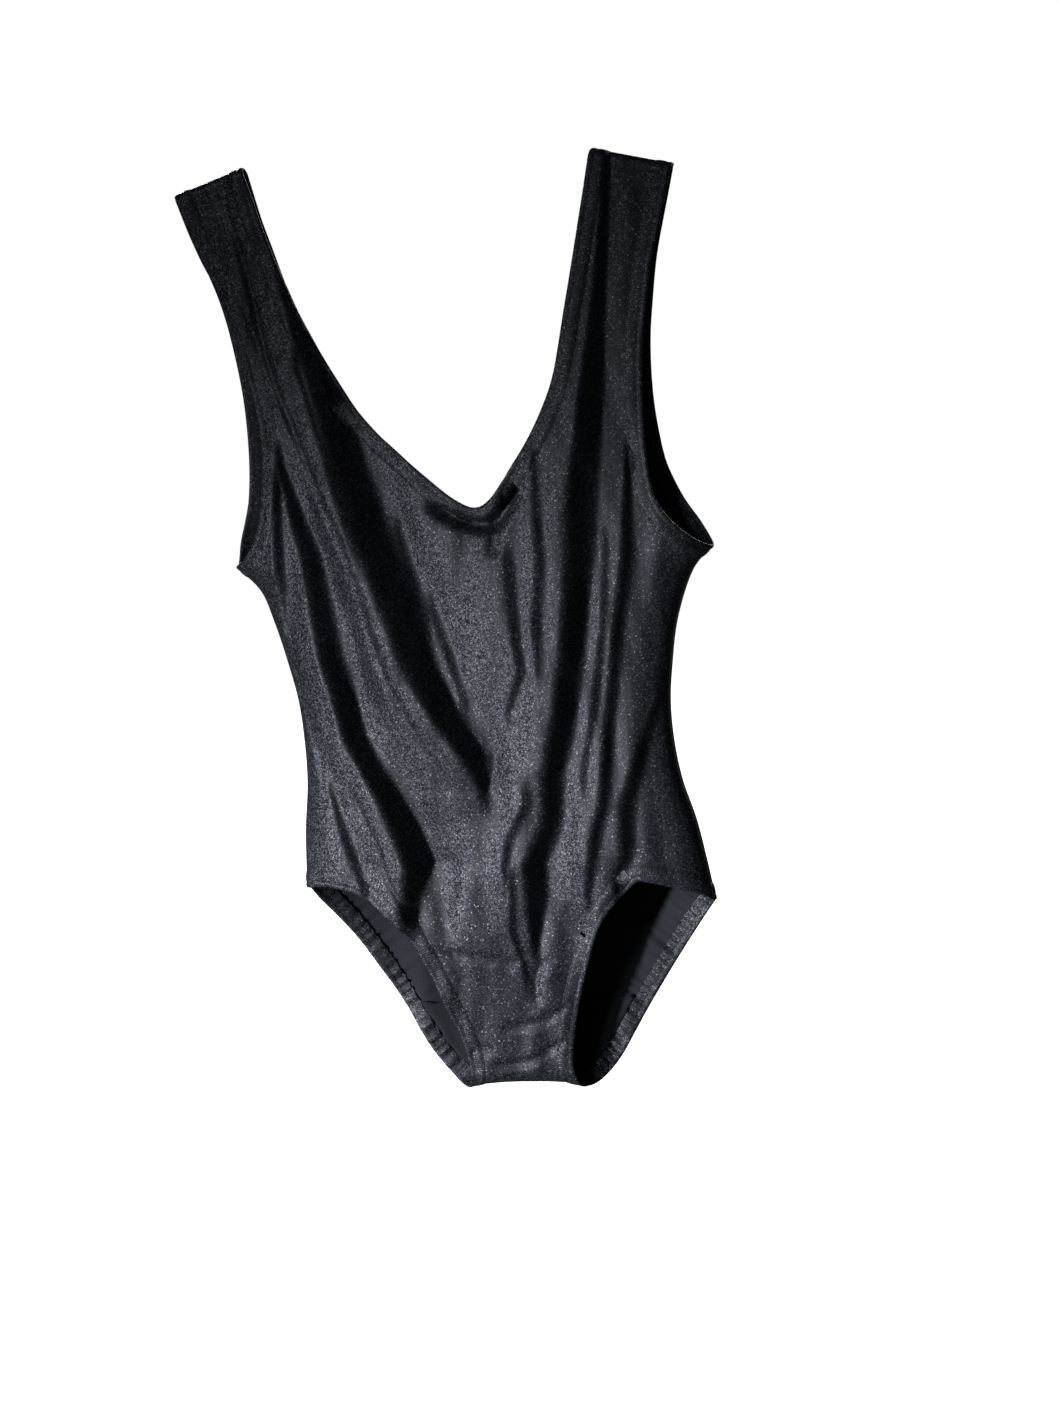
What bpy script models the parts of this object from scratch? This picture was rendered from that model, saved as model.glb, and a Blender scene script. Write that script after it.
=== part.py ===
"""A sleeveless gymnastics leotard, hanging empty by its two shoulder straps.

Metres, +Z up, -Y is the front. The origin is midway between the two shoulder folds, at the level
where the straps rest. The body is drawn flat, as points (x, h), and a rule then hangs it: h is the
height, except near the shoulder folds and the crotch fold, where the cloth rolls over from the
front to the back and h runs on along the cloth.
"""

import math

import bmesh
import bpy
import numpy as np
from mathutils import Vector

MM = 0.001

# Cloth, hem and seam sizes.
CLOTH = 0.8 * MM
GAP = 0.3 * MM
PANEL_GAP = 1.0 * MM
HEM_WIDTH = 10.0 * MM
HEM_SKIN = 0.7 * MM
HEM_POCKET = 1.5 * MM
ELASTIC_WIDTH = 6.5 * MM
ELASTIC_THICKNESS = 0.4 * MM
ELASTIC_INSET = 1.5 * MM
STITCH_WIDTH = 6.2 * MM
STITCH_THICKNESS = 0.35 * MM
STITCH_INSET = 3.2 * MM
STITCH_LIFT = 0.45 * MM
HEM_TURN = 26.0 * MM
FOLD_REACH = 45.0 * MM
FOLD_CORE = 15.0 * MM
SEAM_THICKNESS = 1.2 * MM
SEAM_DEPTH = 4.0 * MM
SEAM_CLEARANCE = 1.3 * MM
CROTCH_SEAM_DEPTH = 1.5 * MM
HEM_MARGIN = 1.5 * MM
SEAM_END_MARGIN = 3.0 * MM
SEAM_STATIONS = 9
SHOULDER_SEAM_STATIONS = 5

# How the cloth rolls over at the shoulders and under at the crotch.
SHOULDER_RADIUS = 5.0 * MM
CROTCH_RADIUS = 13.0 * MM
CROTCH_LEVEL = -573.0 * MM
CROTCH_DROOP = 5.0 * MM
CROTCH_HALF_WIDTH = 43.0 * MM

# Shoulder folds: height at the strap's inner edge, that edge's distance from the middle, and slope.
SHOULDER_LEFT = (10.0 * MM, 112.0 * MM, 0.265)
SHOULDER_RIGHT = (-1.0 * MM, 100.0 * MM, 0.29)

# Distance from the middle plane to the front and to the back, against height (millimetres).
DEPTH_LEVELS = (10, -60, -120, -200, -300, -400, -470, -540, -560, -600)
FRONT_DEPTH = (5, 9, 15, 24, 27, 28, 25, 17, 13, 13)
BACK_DEPTH = (5, 10, 15, 22, 24, 30, 33, 22, 13, 13)

# Edges of the body as it hangs, (x, h) in millimetres: left is -x.
NECK_FRONT = ((-112, 13), (-96, -45), (-79, -94), (-67, -119), (-53, -144), (-27, -170), (1, -195),
              (13, -201), (22, -197), (40, -175), (55, -153), (66, -130), (78, -85), (92, -30), (100, 2))
NECK_BACK = ((-112, 13), (-101, -45), (-89, -94), (-80, -119), (-69, -144), (-53, -172), (-30, -199),
             (2, -213), (34, -202), (58, -172), (73, -144), (81, -119), (87, -85), (96, -30), (100, 2))
ARM_FRONT_LEFT = ((-148, -229), (-137, -222), (-127, -209), (-121, -193), (-117, -165), (-118, -139),
                  (-120.5, -115), (-125.5, -90), (-133, -66), (-144, -41), (-157, 0.9))
ARM_BACK_LEFT = ((-148, -229), (-146.5, -216), (-143, -203), (-139.5, -190), (-136, -165), (-134, -127),
                 (-136.5, -91), (-140.5, -66), (-147, -41), (-157, 0.9))
ARM_FRONT_RIGHT = ((151, -237), (141, -230), (130, -219), (121.5, -206), (118.5, -194), (117.5, -165),
                   (118.5, -137), (121, -112), (125, -90), (130, -67), (137, -45), (147, -11.7))
ARM_BACK_RIGHT = ((151, -237), (142.5, -223), (134, -210), (128.5, -198), (124.5, -186), (121.5, -161),
                  (121, -138), (122.5, -114), (126, -91), (130.5, -68), (137, -45), (147, -11.7))
SIDE_LEFT = ((-129, -438), (-125, -401), (-119.5, -368), (-118, -342), (-118.5, -316), (-122.5, -290),
             (-128, -264), (-134, -245), (-148, -229))
SIDE_RIGHT = ((133.5, -457), (130, -431), (126, -406), (119.5, -380), (116.5, -355), (116.5, -330),
              (120, -305), (125, -281), (134, -257), (140, -247), (151, -237))
LEG_FRONT_LEFT = ((-129, -438), (-109, -435), (-90, -439.5), (-82, -445), (-66, -462), (-53, -487),
                  (-43, -516), (-36, -537), (-32.5, -560), (-34.5, -573), (-38.5, -584))
LEG_BACK_LEFT = ((-129, -438), (-124, -449), (-106, -476), (-92, -500), (-77, -527), (-61, -556),
                 (-48.5, -573), (-38.5, -584))
LEG_FRONT_RIGHT = ((133.5, -457), (125, -450.5), (111, -445), (97, -440.5), (88.5, -439), (81, -445),
                   (70, -456), (62, -467), (56, -481), (49.5, -499), (44, -516), (38, -541),
                   (35.5, -560), (37.5, -573), (41.5, -585))
LEG_BACK_RIGHT = ((133.5, -457), (118.5, -478), (99.5, -505), (86, -525), (72.5, -546), (63, -561),
                  (52, -574), (41.5, -585))

# Virtual half width of the body beyond its side seams: at the shoulders and at the crotch.
SHOULDER_REACH = 200 * MM
CROTCH_REACH = 105 * MM

# Stations along each armhole and leg edge, rows down the side between them, and columns across
# half a panel. The neckline's lowest point is level with one of the first armhole stations.
EDGE_STATIONS = 22
SIDE_ROWS = 7
ARM_STATIONS_BELOW_NECK = 4
COLUMNS = 6
HIP_ROW_LEVEL = -405 * MM
LEAST_RISE = 0.3
ROW_BOW = 3
UNDERARM_ROW_LEVEL = -245 * MM

# Points along the smooth curves: between knots, along a hem's edge and down a side. The side seam
# takes one side point in every few. Two points well inside the cloth show which way is inward.
FINE_POINTS_PER_KNOT = 40
EDGE_POINTS = 400
SIDE_POINTS = 120
SIDE_SEAM_STEP = 5
BODY_MIDDLE = (0, -400)
CHEST_MIDDLE = (0, -165)

# Lining of the crotch, inside the body.
LINING_OFFSET = 3.1 * MM
LINING_TOP_FRONT = -484 * MM
LINING_TOP_BACK = -524 * MM
LINING_ROWS = 7
LINING_COLUMNS = 7
LINING_BLEND = 3
LINING_STITCH_MARGIN = 3.0 * MM
LINING_STITCH_WIDTH = 1.2 * MM
LINING_STITCH_GAP = 0.4 * MM

# Care label, hung inside the back neckline by its top edge.
LABEL_SIZE = (30 * MM, 0.4 * MM, 38 * MM)
LABEL_AXIS = (2 * MM, 19.7 * MM, -216 * MM)
LABEL_STITCH = (26 * MM, 0.5 * MM, 1.2 * MM)

BLACK_CLOTH = (0.012, 0.013, 0.018)
BLACK_ELASTIC = (0.02, 0.02, 0.022)
BLACK_THREAD = (0.03, 0.03, 0.034)
LINING_CLOTH = (0.05, 0.05, 0.055)
LABEL_WHITE = (0.75, 0.75, 0.73)


def clear_scene():
    for item in list(bpy.data.objects):
        bpy.data.objects.remove(item, do_unlink=True)


def make_material(name, color, roughness, metallic=0.0):
    material = bpy.data.materials.new(name)
    material.use_nodes = True
    shader = material.node_tree.nodes["Principled BSDF"]
    shader.inputs["Base Color"].default_value = (*color, 1.0)
    shader.inputs["Roughness"].default_value = roughness
    shader.inputs["Metallic"].default_value = metallic
    return material


def smooth_curve(points, count):
    """Points spread evenly along a smooth curve through the given ones, in millimetres."""
    knots = np.array(points, float) * MM
    spans = np.sqrt(np.linalg.norm(np.diff(knots, axis=0), axis=1))
    times = np.concatenate([[0.0], np.cumsum(spans)])
    slopes = np.gradient(knots, times, axis=0)
    fine_times = np.linspace(0.0, times[-1], FINE_POINTS_PER_KNOT * len(knots))
    fine = hermite(times, knots, slopes, fine_times)
    return read_path(fine, np.linspace(0.0, 1.0, count))


def path_shares(path):
    """How far along its own length each point of a path is, from 0 to 1."""
    lengths = np.concatenate([[0.0], np.cumsum(np.linalg.norm(np.diff(path, axis=0), axis=1))])
    return lengths / lengths[-1]


def read_path(path, shares):
    """The points at these shares of a path's length."""
    own = path_shares(path)
    return np.stack([np.interp(shares, own, path[:, axis]) for axis in range(path.shape[1])], axis=-1)


def hermite(times, values, slopes, wanted):
    """A smooth curve through values at times, read at the wanted times."""
    index = np.clip(np.searchsorted(times, wanted, side="right") - 1, 0, len(times) - 2)
    step = (times[index + 1] - times[index])[:, None]
    part = (wanted - times[index])[:, None] / step
    start_weight = 2 * part**3 - 3 * part**2 + 1
    end_weight = 3 * part**2 - 2 * part**3
    start_slope = (part**3 - 2 * part**2 + part) * step
    end_slope = (part**3 - part**2) * step
    return (
        start_weight * values[index]
        + end_weight * values[index + 1]
        + start_slope * slopes[index]
        + end_slope * slopes[index + 1]
    )


def smooth_table(levels, values):
    """A function that reads a table smoothly; its levels run downwards, in millimetres."""
    times = -np.array(levels, float) * MM
    column = np.array(values, float)[:, None] * MM
    slopes = np.gradient(column, times, axis=0)

    def read(height):
        wanted = np.clip(np.array([-height], float), times[0], times[-1])
        return float(hermite(times, column, slopes, wanted)[0, 0])

    return read


depth_at = {
    "front": smooth_table(DEPTH_LEVELS, FRONT_DEPTH),
    "back": smooth_table(DEPTH_LEVELS, BACK_DEPTH),
}
facing = {"front": -1.0, "back": 1.0}
side_curves = {
    -1: smooth_curve(SIDE_LEFT, SIDE_POINTS),
    1: smooth_curve(SIDE_RIGHT, SIDE_POINTS),
}


def shoulder_level(x):
    height, edge, slope = SHOULDER_LEFT if x < 0 else SHOULDER_RIGHT
    return height - slope * (abs(x) - edge)


def crotch_level(x):
    return CROTCH_LEVEL - CROTCH_DROOP * min(abs(x) / CROTCH_HALF_WIDTH, 1.1) ** 3


def half_width(x, h):
    """Half width of the body's oval section at this height, on the side that x is on."""
    side = side_curves[-1 if x < 0 else 1]
    levels = side[:, 1]
    widths = np.abs(side[:, 0])
    if h > levels[-1]:
        rise = (h - levels[-1]) / abs(levels[-1])
        return widths[-1] + (SHOULDER_REACH - widths[-1]) * min(rise, 1.0)
    if h < levels[0]:
        drop = (levels[0] - h) / (levels[0] - CROTCH_LEVEL)
        return widths[0] + (CROTCH_REACH - widths[0]) * min(drop, 1.0)
    return float(np.interp(h, levels, widths))


def hang(layer, x, h):
    """The place in space of a point (x, h) of the front or the back."""
    width = half_width(x, h)
    oval = math.sqrt(max(0.0, 1.0 - (x / width) ** 2))
    depth = depth_at[layer](h) * oval
    shoulder = shoulder_level(x) - SHOULDER_RADIUS
    crotch = crotch_level(x) + CROTCH_RADIUS
    if h > shoulder:
        angle = min((h - shoulder) / SHOULDER_RADIUS, math.pi / 2)
        return Vector((x, facing[layer] * depth * math.cos(angle), shoulder + SHOULDER_RADIUS * math.sin(angle)))
    if h < crotch:
        angle = min((crotch - h) / CROTCH_RADIUS, math.pi / 2)
        return Vector((x, facing[layer] * depth * math.cos(angle), crotch - CROTCH_RADIUS * math.sin(angle)))
    return Vector((x, facing[layer] * depth, h))


def keep_apart(layer, point):
    """Holds the front and the back half a gap off the plane where they are sewn together."""
    nearest = facing[layer] * (CLOTH + GAP) / 2
    if abs(point.y) < abs(nearest):
        point.y = nearest
    return point


def top_height(x):
    return shoulder_level(x) + SHOULDER_RADIUS * (math.pi / 2 - 1)


def bottom_height(x):
    return crotch_level(x) - CROTCH_RADIUS * (math.pi / 2 - 1)


def unit(vector):
    return vector / np.linalg.norm(vector)


def ease(share):
    """A smooth step from 0 to 1."""
    share = min(max(share, 0.0), 1.0)
    return share * share * (3 - 2 * share)


def inward_directions(edge, inside, first, last):
    """At each point of an edge, the direction into the cloth, square to the edge.

    Towards its ends it turns to first and last, which lie along the seams that the hem crosses.
    """
    tangents = np.gradient(edge, axis=0)
    squares = np.stack([-tangents[:, 1], tangents[:, 0]], axis=1)
    middle = len(edge) // 2
    if np.dot(squares[middle], np.array(inside, float) * MM - edge[middle]) < 0:
        squares = -squares
    length = np.linalg.norm(np.diff(edge, axis=0), axis=1).sum()
    run = path_shares(edge) * length
    result = []
    for place, square in zip(run, squares):
        near_first = ease(1.0 - place / HEM_TURN)
        near_last = ease(1.0 - (length - place) / HEM_TURN)
        direction = unit(square) * (1 - near_first - near_last)
        direction = direction + near_first * unit(np.array(first, float))
        direction = direction + near_last * unit(np.array(last, float))
        result.append(unit(direction))
    return np.array(result)


def along_side(side, from_top, length):
    """The direction from a side seam's end to the point this far along it."""
    curve = side_curves[side]
    end = curve[-1] if from_top else curve[0]
    away = np.linalg.norm(curve - end, axis=1)
    nearest = int(np.argmin(np.abs(away - length)))
    return curve[nearest] - end


hem_edges = {
    ("neck", "front", 0): NECK_FRONT,
    ("neck", "back", 0): NECK_BACK,
    ("arm", "front", -1): ARM_FRONT_LEFT,
    ("arm", "back", -1): ARM_BACK_LEFT,
    ("arm", "front", 1): ARM_FRONT_RIGHT,
    ("arm", "back", 1): ARM_BACK_RIGHT,
    ("leg", "front", -1): LEG_FRONT_LEFT,
    ("leg", "back", -1): LEG_BACK_LEFT,
    ("leg", "front", 1): LEG_FRONT_RIGHT,
    ("leg", "back", 1): LEG_BACK_RIGHT,
}


def hem_line(kind, layer, side):
    """An edge of the cloth and the directions into it, both in the flat and finely spaced."""
    edge = smooth_curve(hem_edges[(kind, layer, side)], EDGE_POINTS)
    if kind == "neck":
        return edge, inward_directions(edge, BODY_MIDDLE, (-1, 0), (1, 0))
    if kind == "arm":
        return edge, inward_directions(edge, CHEST_MIDDLE, along_side(side, True, HEM_WIDTH), (-side, 0))
    return edge, inward_directions(edge, BODY_MIDDLE, along_side(side, False, HEM_WIDTH), (-side, 0))


def station_shares(kind, edge):
    """Where a hem's stations lie along its edge: closer together where the cloth turns over."""
    if kind != "neck":
        return (1 - np.cos(np.linspace(0.0, math.pi, EDGE_STATIONS))) / 2
    lowest = path_shares(edge)[int(np.argmin(edge[:, 1]))]
    count = EDGE_STATIONS - ARM_STATIONS_BELOW_NECK
    away = np.sin(np.linspace(0.0, math.pi / 2, count))
    left = lowest * (1 - away[::-1])
    right = lowest + (1 - lowest) * away
    return np.concatenate([left, right[1:]])


def hem_stations(kind, layer, side, inset):
    """A hem's stations in the flat: on the edge, and this far into the cloth."""
    edge, directions = hem_line(kind, layer, side)
    shares = station_shares(kind, edge)
    own = path_shares(edge)
    points = []
    insets = []
    for share in shares:
        point = np.array([np.interp(share, own, edge[:, axis]) for axis in range(2)])
        direction = unit(np.array([np.interp(share, own, directions[:, axis]) for axis in range(2)]))
        points.append(point)
        inner = point + direction * inset
        inner[1] += follow_folds(point, inner)
        insets.append(inner)
    return points, insets


def follow_folds(point, inner):
    """How much an inset point's height changes so that it turns over a fold beside its edge point."""
    above = point[1] - bottom_height(point[0])
    below = top_height(point[0]) - point[1]
    low = bottom_height(inner[0]) - bottom_height(point[0])
    high = top_height(inner[0]) - top_height(point[0])
    return low * near_fold(above) + high * near_fold(below)


def near_fold(distance):
    return ease((FOLD_REACH - distance) / (FOLD_REACH - FOLD_CORE))


def clamp_height(point):
    low = bottom_height(point[0])
    high = top_height(point[0])
    return np.array([point[0], min(max(point[1], low), high)])


def panel_edge(kind, layer, side):
    """The cloth's own edge beside a hem, a gap away from the hem's open side."""
    return hem_stations(kind, layer, side, HEM_WIDTH + PANEL_GAP)[1]


def panel_rows(layer, side):
    """Rows of points across half a panel, from its inner border to its outer one."""
    leg = panel_edge("leg", layer, side)[::-1]
    arm = panel_edge("arm", layer, side)
    neck = panel_edge("neck", layer, 0)
    lowest = EDGE_STATIONS - ARM_STATIONS_BELOW_NECK - 1
    neck_half = neck[lowest::-1] if side < 0 else neck[lowest:]
    crotch_centre = np.array([0.0, bottom_height(0.0)])
    hip_centre = np.array([0.0, HIP_ROW_LEVEL])
    underarm_centre = np.array([0.0, UNDERARM_ROW_LEVEL])
    borders = []
    for point, share in zip(leg, rise_shares(np.array(leg))):
        borders.append((crotch_centre + (hip_centre - crotch_centre) * share, point))
    curve = side_curves[side]
    low = int(np.argmin(np.linalg.norm(curve - leg[-1], axis=1)))
    high = int(np.argmin(np.linalg.norm(curve - arm[0], axis=1)))
    seam = np.concatenate([[leg[-1]], curve[low + 1 : high], [arm[0]]])
    for step in range(1, SIDE_ROWS):
        share = step / SIDE_ROWS
        borders.append((hip_centre + (underarm_centre - hip_centre) * share, read_path(seam, share)))
    for step in range(ARM_STATIONS_BELOW_NECK):
        share = step / ARM_STATIONS_BELOW_NECK
        borders.append((underarm_centre + (neck_half[0] - underarm_centre) * share, arm[step]))
    for step, point in enumerate(neck_half):
        borders.append((point, arm[ARM_STATIONS_BELOW_NECK + step]))
    rows = []
    bowed_rows = EDGE_STATIONS + SIDE_ROWS
    for number, (start, end) in enumerate(borders):
        bow = ROW_BOW if number < bowed_rows else 1
        row = []
        for column in range(COLUMNS + 1):
            across = math.sin(column / COLUMNS * math.pi / 2)
            x = start[0] + (end[0] - start[0]) * across
            h = start[1] + (end[1] - start[1]) * across**bow
            row.append(clamp_height((x, h)))
        rows.append(row)
    return rows


def rise_shares(edge):
    """How far up an edge each point is, counting level stretches as a gentle rise."""
    steps = np.diff(edge, axis=0)
    rises = np.maximum(steps[:, 1], LEAST_RISE * np.linalg.norm(steps, axis=1))
    total = np.concatenate([[0.0], np.cumsum(rises)])
    return total / total[-1]


def new_object(name, mesh_source, material):
    """Puts a bmesh into the scene as an object and gives it its material."""
    mesh = bpy.data.meshes.new(name)
    mesh_source.to_mesh(mesh)
    mesh_source.free()
    mesh.materials.append(material)
    item = bpy.data.objects.new(name, mesh)
    bpy.context.scene.collection.objects.link(item)
    return item


def grid_of(points):
    """A sheet of faces over rows of points."""
    sheet = bmesh.new()
    rows = [[sheet.verts.new(point) for point in row] for row in points]
    for lower, upper in zip(rows, rows[1:]):
        for index in range(len(lower) - 1):
            sheet.faces.new((lower[index], lower[index + 1], upper[index + 1], upper[index]))
    return sheet


def thicken(sheet, thickness):
    """Turns an open sheet into a closed shell with the sheet in its middle."""
    bmesh.ops.recalc_face_normals(sheet, faces=sheet.faces)
    sheet.normal_update()
    steps = {vert: vert.normal * (thickness / 2) for vert in sheet.verts}
    for vert, step in steps.items():
        vert.co -= step
    borders = [edge for edge in sheet.edges if edge.is_boundary]
    copy = bmesh.ops.duplicate(sheet, geom=list(sheet.verts) + list(sheet.edges) + list(sheet.faces))
    pairs = copy["vert_map"]
    for vert, step in steps.items():
        pairs[vert].co += step * 2
    for edge in borders:
        first, second = edge.verts
        sheet.faces.new((first, second, pairs[second], pairs[first]))
    bmesh.ops.recalc_face_normals(sheet, faces=sheet.faces)
    return sheet


def make_panel(name, layer, material):
    """Front or back of the body: one sheet from the crotch seam to both shoulder seams."""
    sheet = bmesh.new()
    joined_rows = EDGE_STATIONS + SIDE_ROWS + ARM_STATIONS_BELOW_NECK
    halves = {}
    for side in (-1, 1):
        rows = panel_rows(layer, side)
        halves[side] = [
            [sheet.verts.new(keep_apart(layer, hang(layer, *point))) for point in row] for row in rows
        ]
    for level in range(joined_rows):
        bmesh.ops.weld_verts(sheet, targetmap={halves[1][level][0]: halves[-1][level][0]})
        halves[1][level][0] = halves[-1][level][0]
    for half in halves.values():
        for lower, upper in zip(half, half[1:]):
            for index in range(COLUMNS):
                sheet.faces.new((lower[index], lower[index + 1], upper[index + 1], upper[index]))
    thicken(sheet, CLOTH)
    return new_object(name, sheet, material)


def hem_frames(kind, side):
    """Stations round a whole hem: edge point, direction into the cloth, and direction out of it."""
    places = []
    for layer in ("front", "back"):
        points, insets = hem_stations(kind, layer, side, HEM_WIDTH)
        stations = []
        for point, inset in zip(points, insets):
            stations.append((hang(layer, *clamp_height(point)), hang(layer, *clamp_height(inset))))
        places.append(stations)
    front, back = places
    loop = front + back[::-1][1:-1]
    outs = []
    for index, (point, inner) in enumerate(loop):
        before = loop[index - 1]
        after = loop[(index + 1) % len(loop)]
        tangent = (after[0] - before[0]).normalized() + (after[1] - before[1]).normalized()
        outs.append(tangent.cross(inner - point).normalized())
    frames = []
    for index, (point, inner) in enumerate(loop):
        following = outs[(index + 1) % len(outs)]
        out = (outs[index - 1] + outs[index] * 2 + following).normalized()
        frames.append((point, (inner - point).normalized(), out))
    return frames


def sweep_ring(name, frames, profile, material):
    """A closed ring with the same profile, points (into the cloth, out of it), at every station."""
    ring = bmesh.new()
    loops = []
    for point, into, out in frames:
        loops.append([ring.verts.new(point + into * inward + out * outward) for inward, outward in profile])
    for index, loop in enumerate(loops):
        following = loops[(index + 1) % len(loops)]
        for corner in range(len(profile)):
            after = (corner + 1) % len(profile)
            ring.faces.new((loop[corner], loop[after], following[after], following[corner]))
    bmesh.ops.recalc_face_normals(ring, faces=ring.faces)
    return new_object(name, ring, material)


def rectangle(low, high, bottom, top):
    return ((low, bottom), (high, bottom), (high, top), (low, top))


def make_hem(name, kind, side, materials):
    """One hem: the folded cloth, the elastic inside it and its band of cover stitching."""
    frames = hem_frames(kind, side)
    slot = HEM_POCKET / 2
    outer = slot + HEM_SKIN
    folded = (
        (0.0, -outer),
        (HEM_WIDTH, -outer),
        (HEM_WIDTH, -slot),
        (HEM_SKIN, -slot),
        (HEM_SKIN, slot),
        (HEM_WIDTH, slot),
        (HEM_WIDTH, outer),
        (0.0, outer),
    )
    sweep_ring(name + "_hem", frames, folded, materials["cloth"])
    half = ELASTIC_THICKNESS / 2
    elastic = rectangle(ELASTIC_INSET, ELASTIC_INSET + ELASTIC_WIDTH, -half, half)
    sweep_ring(name + "_elastic", frames, elastic, materials["elastic"])
    outside = outward_sign(frames) * (outer + STITCH_LIFT)
    outside_far = outside + math.copysign(STITCH_THICKNESS, outside)
    low = min(outside, outside_far)
    high = max(outside, outside_far)
    band = rectangle(STITCH_INSET, STITCH_INSET + STITCH_WIDTH, low, high)
    sweep_ring(name + "_cover_stitch", frames, band, materials["thread"])


def outward_sign(frames):
    """Which sign of a frame's third direction leads out of the garment; the front faces -Y."""
    deepest = min(frames, key=lambda frame: frame[0].y)
    return 1.0 if deepest[2].y < 0 else -1.0


def make_seam(name, points, direction_of, material):
    """A flat seam allowance that stands inward from a seam, in the plane between front and back."""
    rows = []
    for point in points:
        inward = direction_of(point)
        near = point + inward * SEAM_CLEARANCE
        far = point + inward * (SEAM_CLEARANCE + SEAM_DEPTH)
        rows.append([near, far])
    sheet = grid_of(rows)
    thicken(sheet, SEAM_THICKNESS)
    return new_object(name, sheet, material)


def make_side_seam(name, side, material):
    """The overlocked seam allowance down one side, from the armhole hem to the leg hem."""
    curve = side_curves[side]
    low = curve[0] + along_side(side, False, HEM_WIDTH + SEAM_END_MARGIN)
    high = curve[-1] + along_side(side, True, HEM_WIDTH + SEAM_END_MARGIN)
    inside = curve[(curve[:, 1] > low[1]) & (curve[:, 1] < high[1])][::SIDE_SEAM_STEP]
    points = [Vector((x, 0.0, h)) for x, h in inside]
    return make_seam(name, points, lambda point: Vector((-side, 0.0, 0.0)), material)


def make_shoulder_seam(name, side, material):
    """The seam allowance under one shoulder fold, between the neck hem and the armhole hem."""
    neck_x = (NECK_FRONT[0] if side < 0 else NECK_FRONT[-1])[0] * MM
    arm_x = (ARM_FRONT_LEFT if side < 0 else ARM_FRONT_RIGHT)[-1][0] * MM
    first = neck_x + side * (HEM_WIDTH + HEM_MARGIN)
    last = arm_x - side * (HEM_WIDTH + HEM_MARGIN)
    points = []
    for x in np.linspace(first, last, SHOULDER_SEAM_STATIONS):
        points.append(Vector((x, 0.0, shoulder_level(float(x)))))
    return make_seam(name, points, lambda point: Vector((0.0, 0.0, -1.0)), material)


def crotch_reach(layer, h, margin):
    """The left and right ends of the clear width between the leg hems at this height."""
    ends = []
    for side in (-1, 1):
        edge, directions = hem_line("leg", layer, side)
        inner = edge + directions * (HEM_WIDTH + margin)
        order = np.argsort(inner[:, 1])
        ends.append(float(np.interp(h, inner[order, 1], inner[order, 0])))
    return ends


def make_crotch_seam(name, material):
    """The seam allowance across the crotch fold, where the front is sewn to the back."""
    left, right = crotch_reach("front", bottom_height(0.0), HEM_MARGIN)
    rows = []
    for x in np.linspace(left, right, SEAM_STATIONS):
        near = Vector((x, 0.0, crotch_level(x) + CLOTH / 2 + GAP))
        far = near + Vector((0.0, 0.0, CROTCH_SEAM_DEPTH))
        rows.append([near, far])
    sheet = grid_of(rows)
    thicken(sheet, SEAM_THICKNESS)
    return new_object(name, sheet, material)


def lining_point(layer, x, h):
    """A point of the lining, which lies this far inside the body's cloth."""
    step = 1.0 * MM
    here = hang(layer, x, h)
    if h <= bottom_height(x) + step:
        return here + Vector((0.0, 0.0, LINING_OFFSET))
    across = hang(layer, x + step, h) - hang(layer, x - step, h)
    upward = hang(layer, x, h + step) - hang(layer, x, h - step)
    normal = across.cross(upward).normalized()
    if normal.y * facing[layer] > 0:
        normal = -normal
    return here + normal * LINING_OFFSET


def lining_rows(layer, top, include_fold):
    rows = []
    first = 0 if include_fold else 1
    fold_left, fold_right = crotch_reach("front", bottom_height(0.0), HEM_MARGIN)
    for step in range(first, LINING_ROWS + 1):
        share = step / LINING_ROWS
        h = bottom_height(0.0) + (top - bottom_height(0.0)) * share
        left, right = crotch_reach(layer, h, HEM_MARGIN)
        blend = min(1.0, share * LINING_BLEND)
        left = fold_left + (left - fold_left) * blend
        right = fold_right + (right - fold_right) * blend
        row = []
        for x in np.linspace(left, right, LINING_COLUMNS):
            x = float(x)
            height = max(h, bottom_height(x)) if step else bottom_height(x)
            row.append(lining_point(layer, x, height))
        rows.append(row)
    return rows


def make_lining(name, material):
    """The crotch lining: a second layer from low on the front, under the fold, to the back."""
    front = lining_rows("front", LINING_TOP_FRONT, True)
    back = lining_rows("back", LINING_TOP_BACK, False)
    sheet = grid_of(front[::-1] + back)
    thicken(sheet, CLOTH)
    return new_object(name, sheet, material)


def make_lining_stitch(name, layer, top, material):
    """The line of stitching that holds the lining's top edge to the body."""
    left, right = crotch_reach(layer, top, LINING_STITCH_MARGIN)
    rows = []
    for h in (top - 2 * LINING_STITCH_WIDTH, top - LINING_STITCH_WIDTH):
        row = []
        for x in np.linspace(left, right, SEAM_STATIONS):
            point = hang(layer, float(x), h)
            point.y -= facing[layer] * LINING_OFFSET / 2
            row.append(point)
        rows.append(row)
    sheet = grid_of(rows)
    thicken(sheet, LINING_OFFSET - CLOTH - 2 * LINING_STITCH_GAP)
    return new_object(name, sheet, material)


def box_at(name, size, centre, pivot, material):
    """A box of this size whose object sits on its pivot."""
    shape = bmesh.new()
    bmesh.ops.create_cube(shape, size=1.0)
    bmesh.ops.scale(shape, vec=Vector(size), verts=shape.verts)
    bmesh.ops.translate(shape, vec=Vector(centre) - Vector(pivot), verts=shape.verts)
    item = new_object(name, shape, material)
    item.location = Vector(pivot)
    return item


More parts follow.
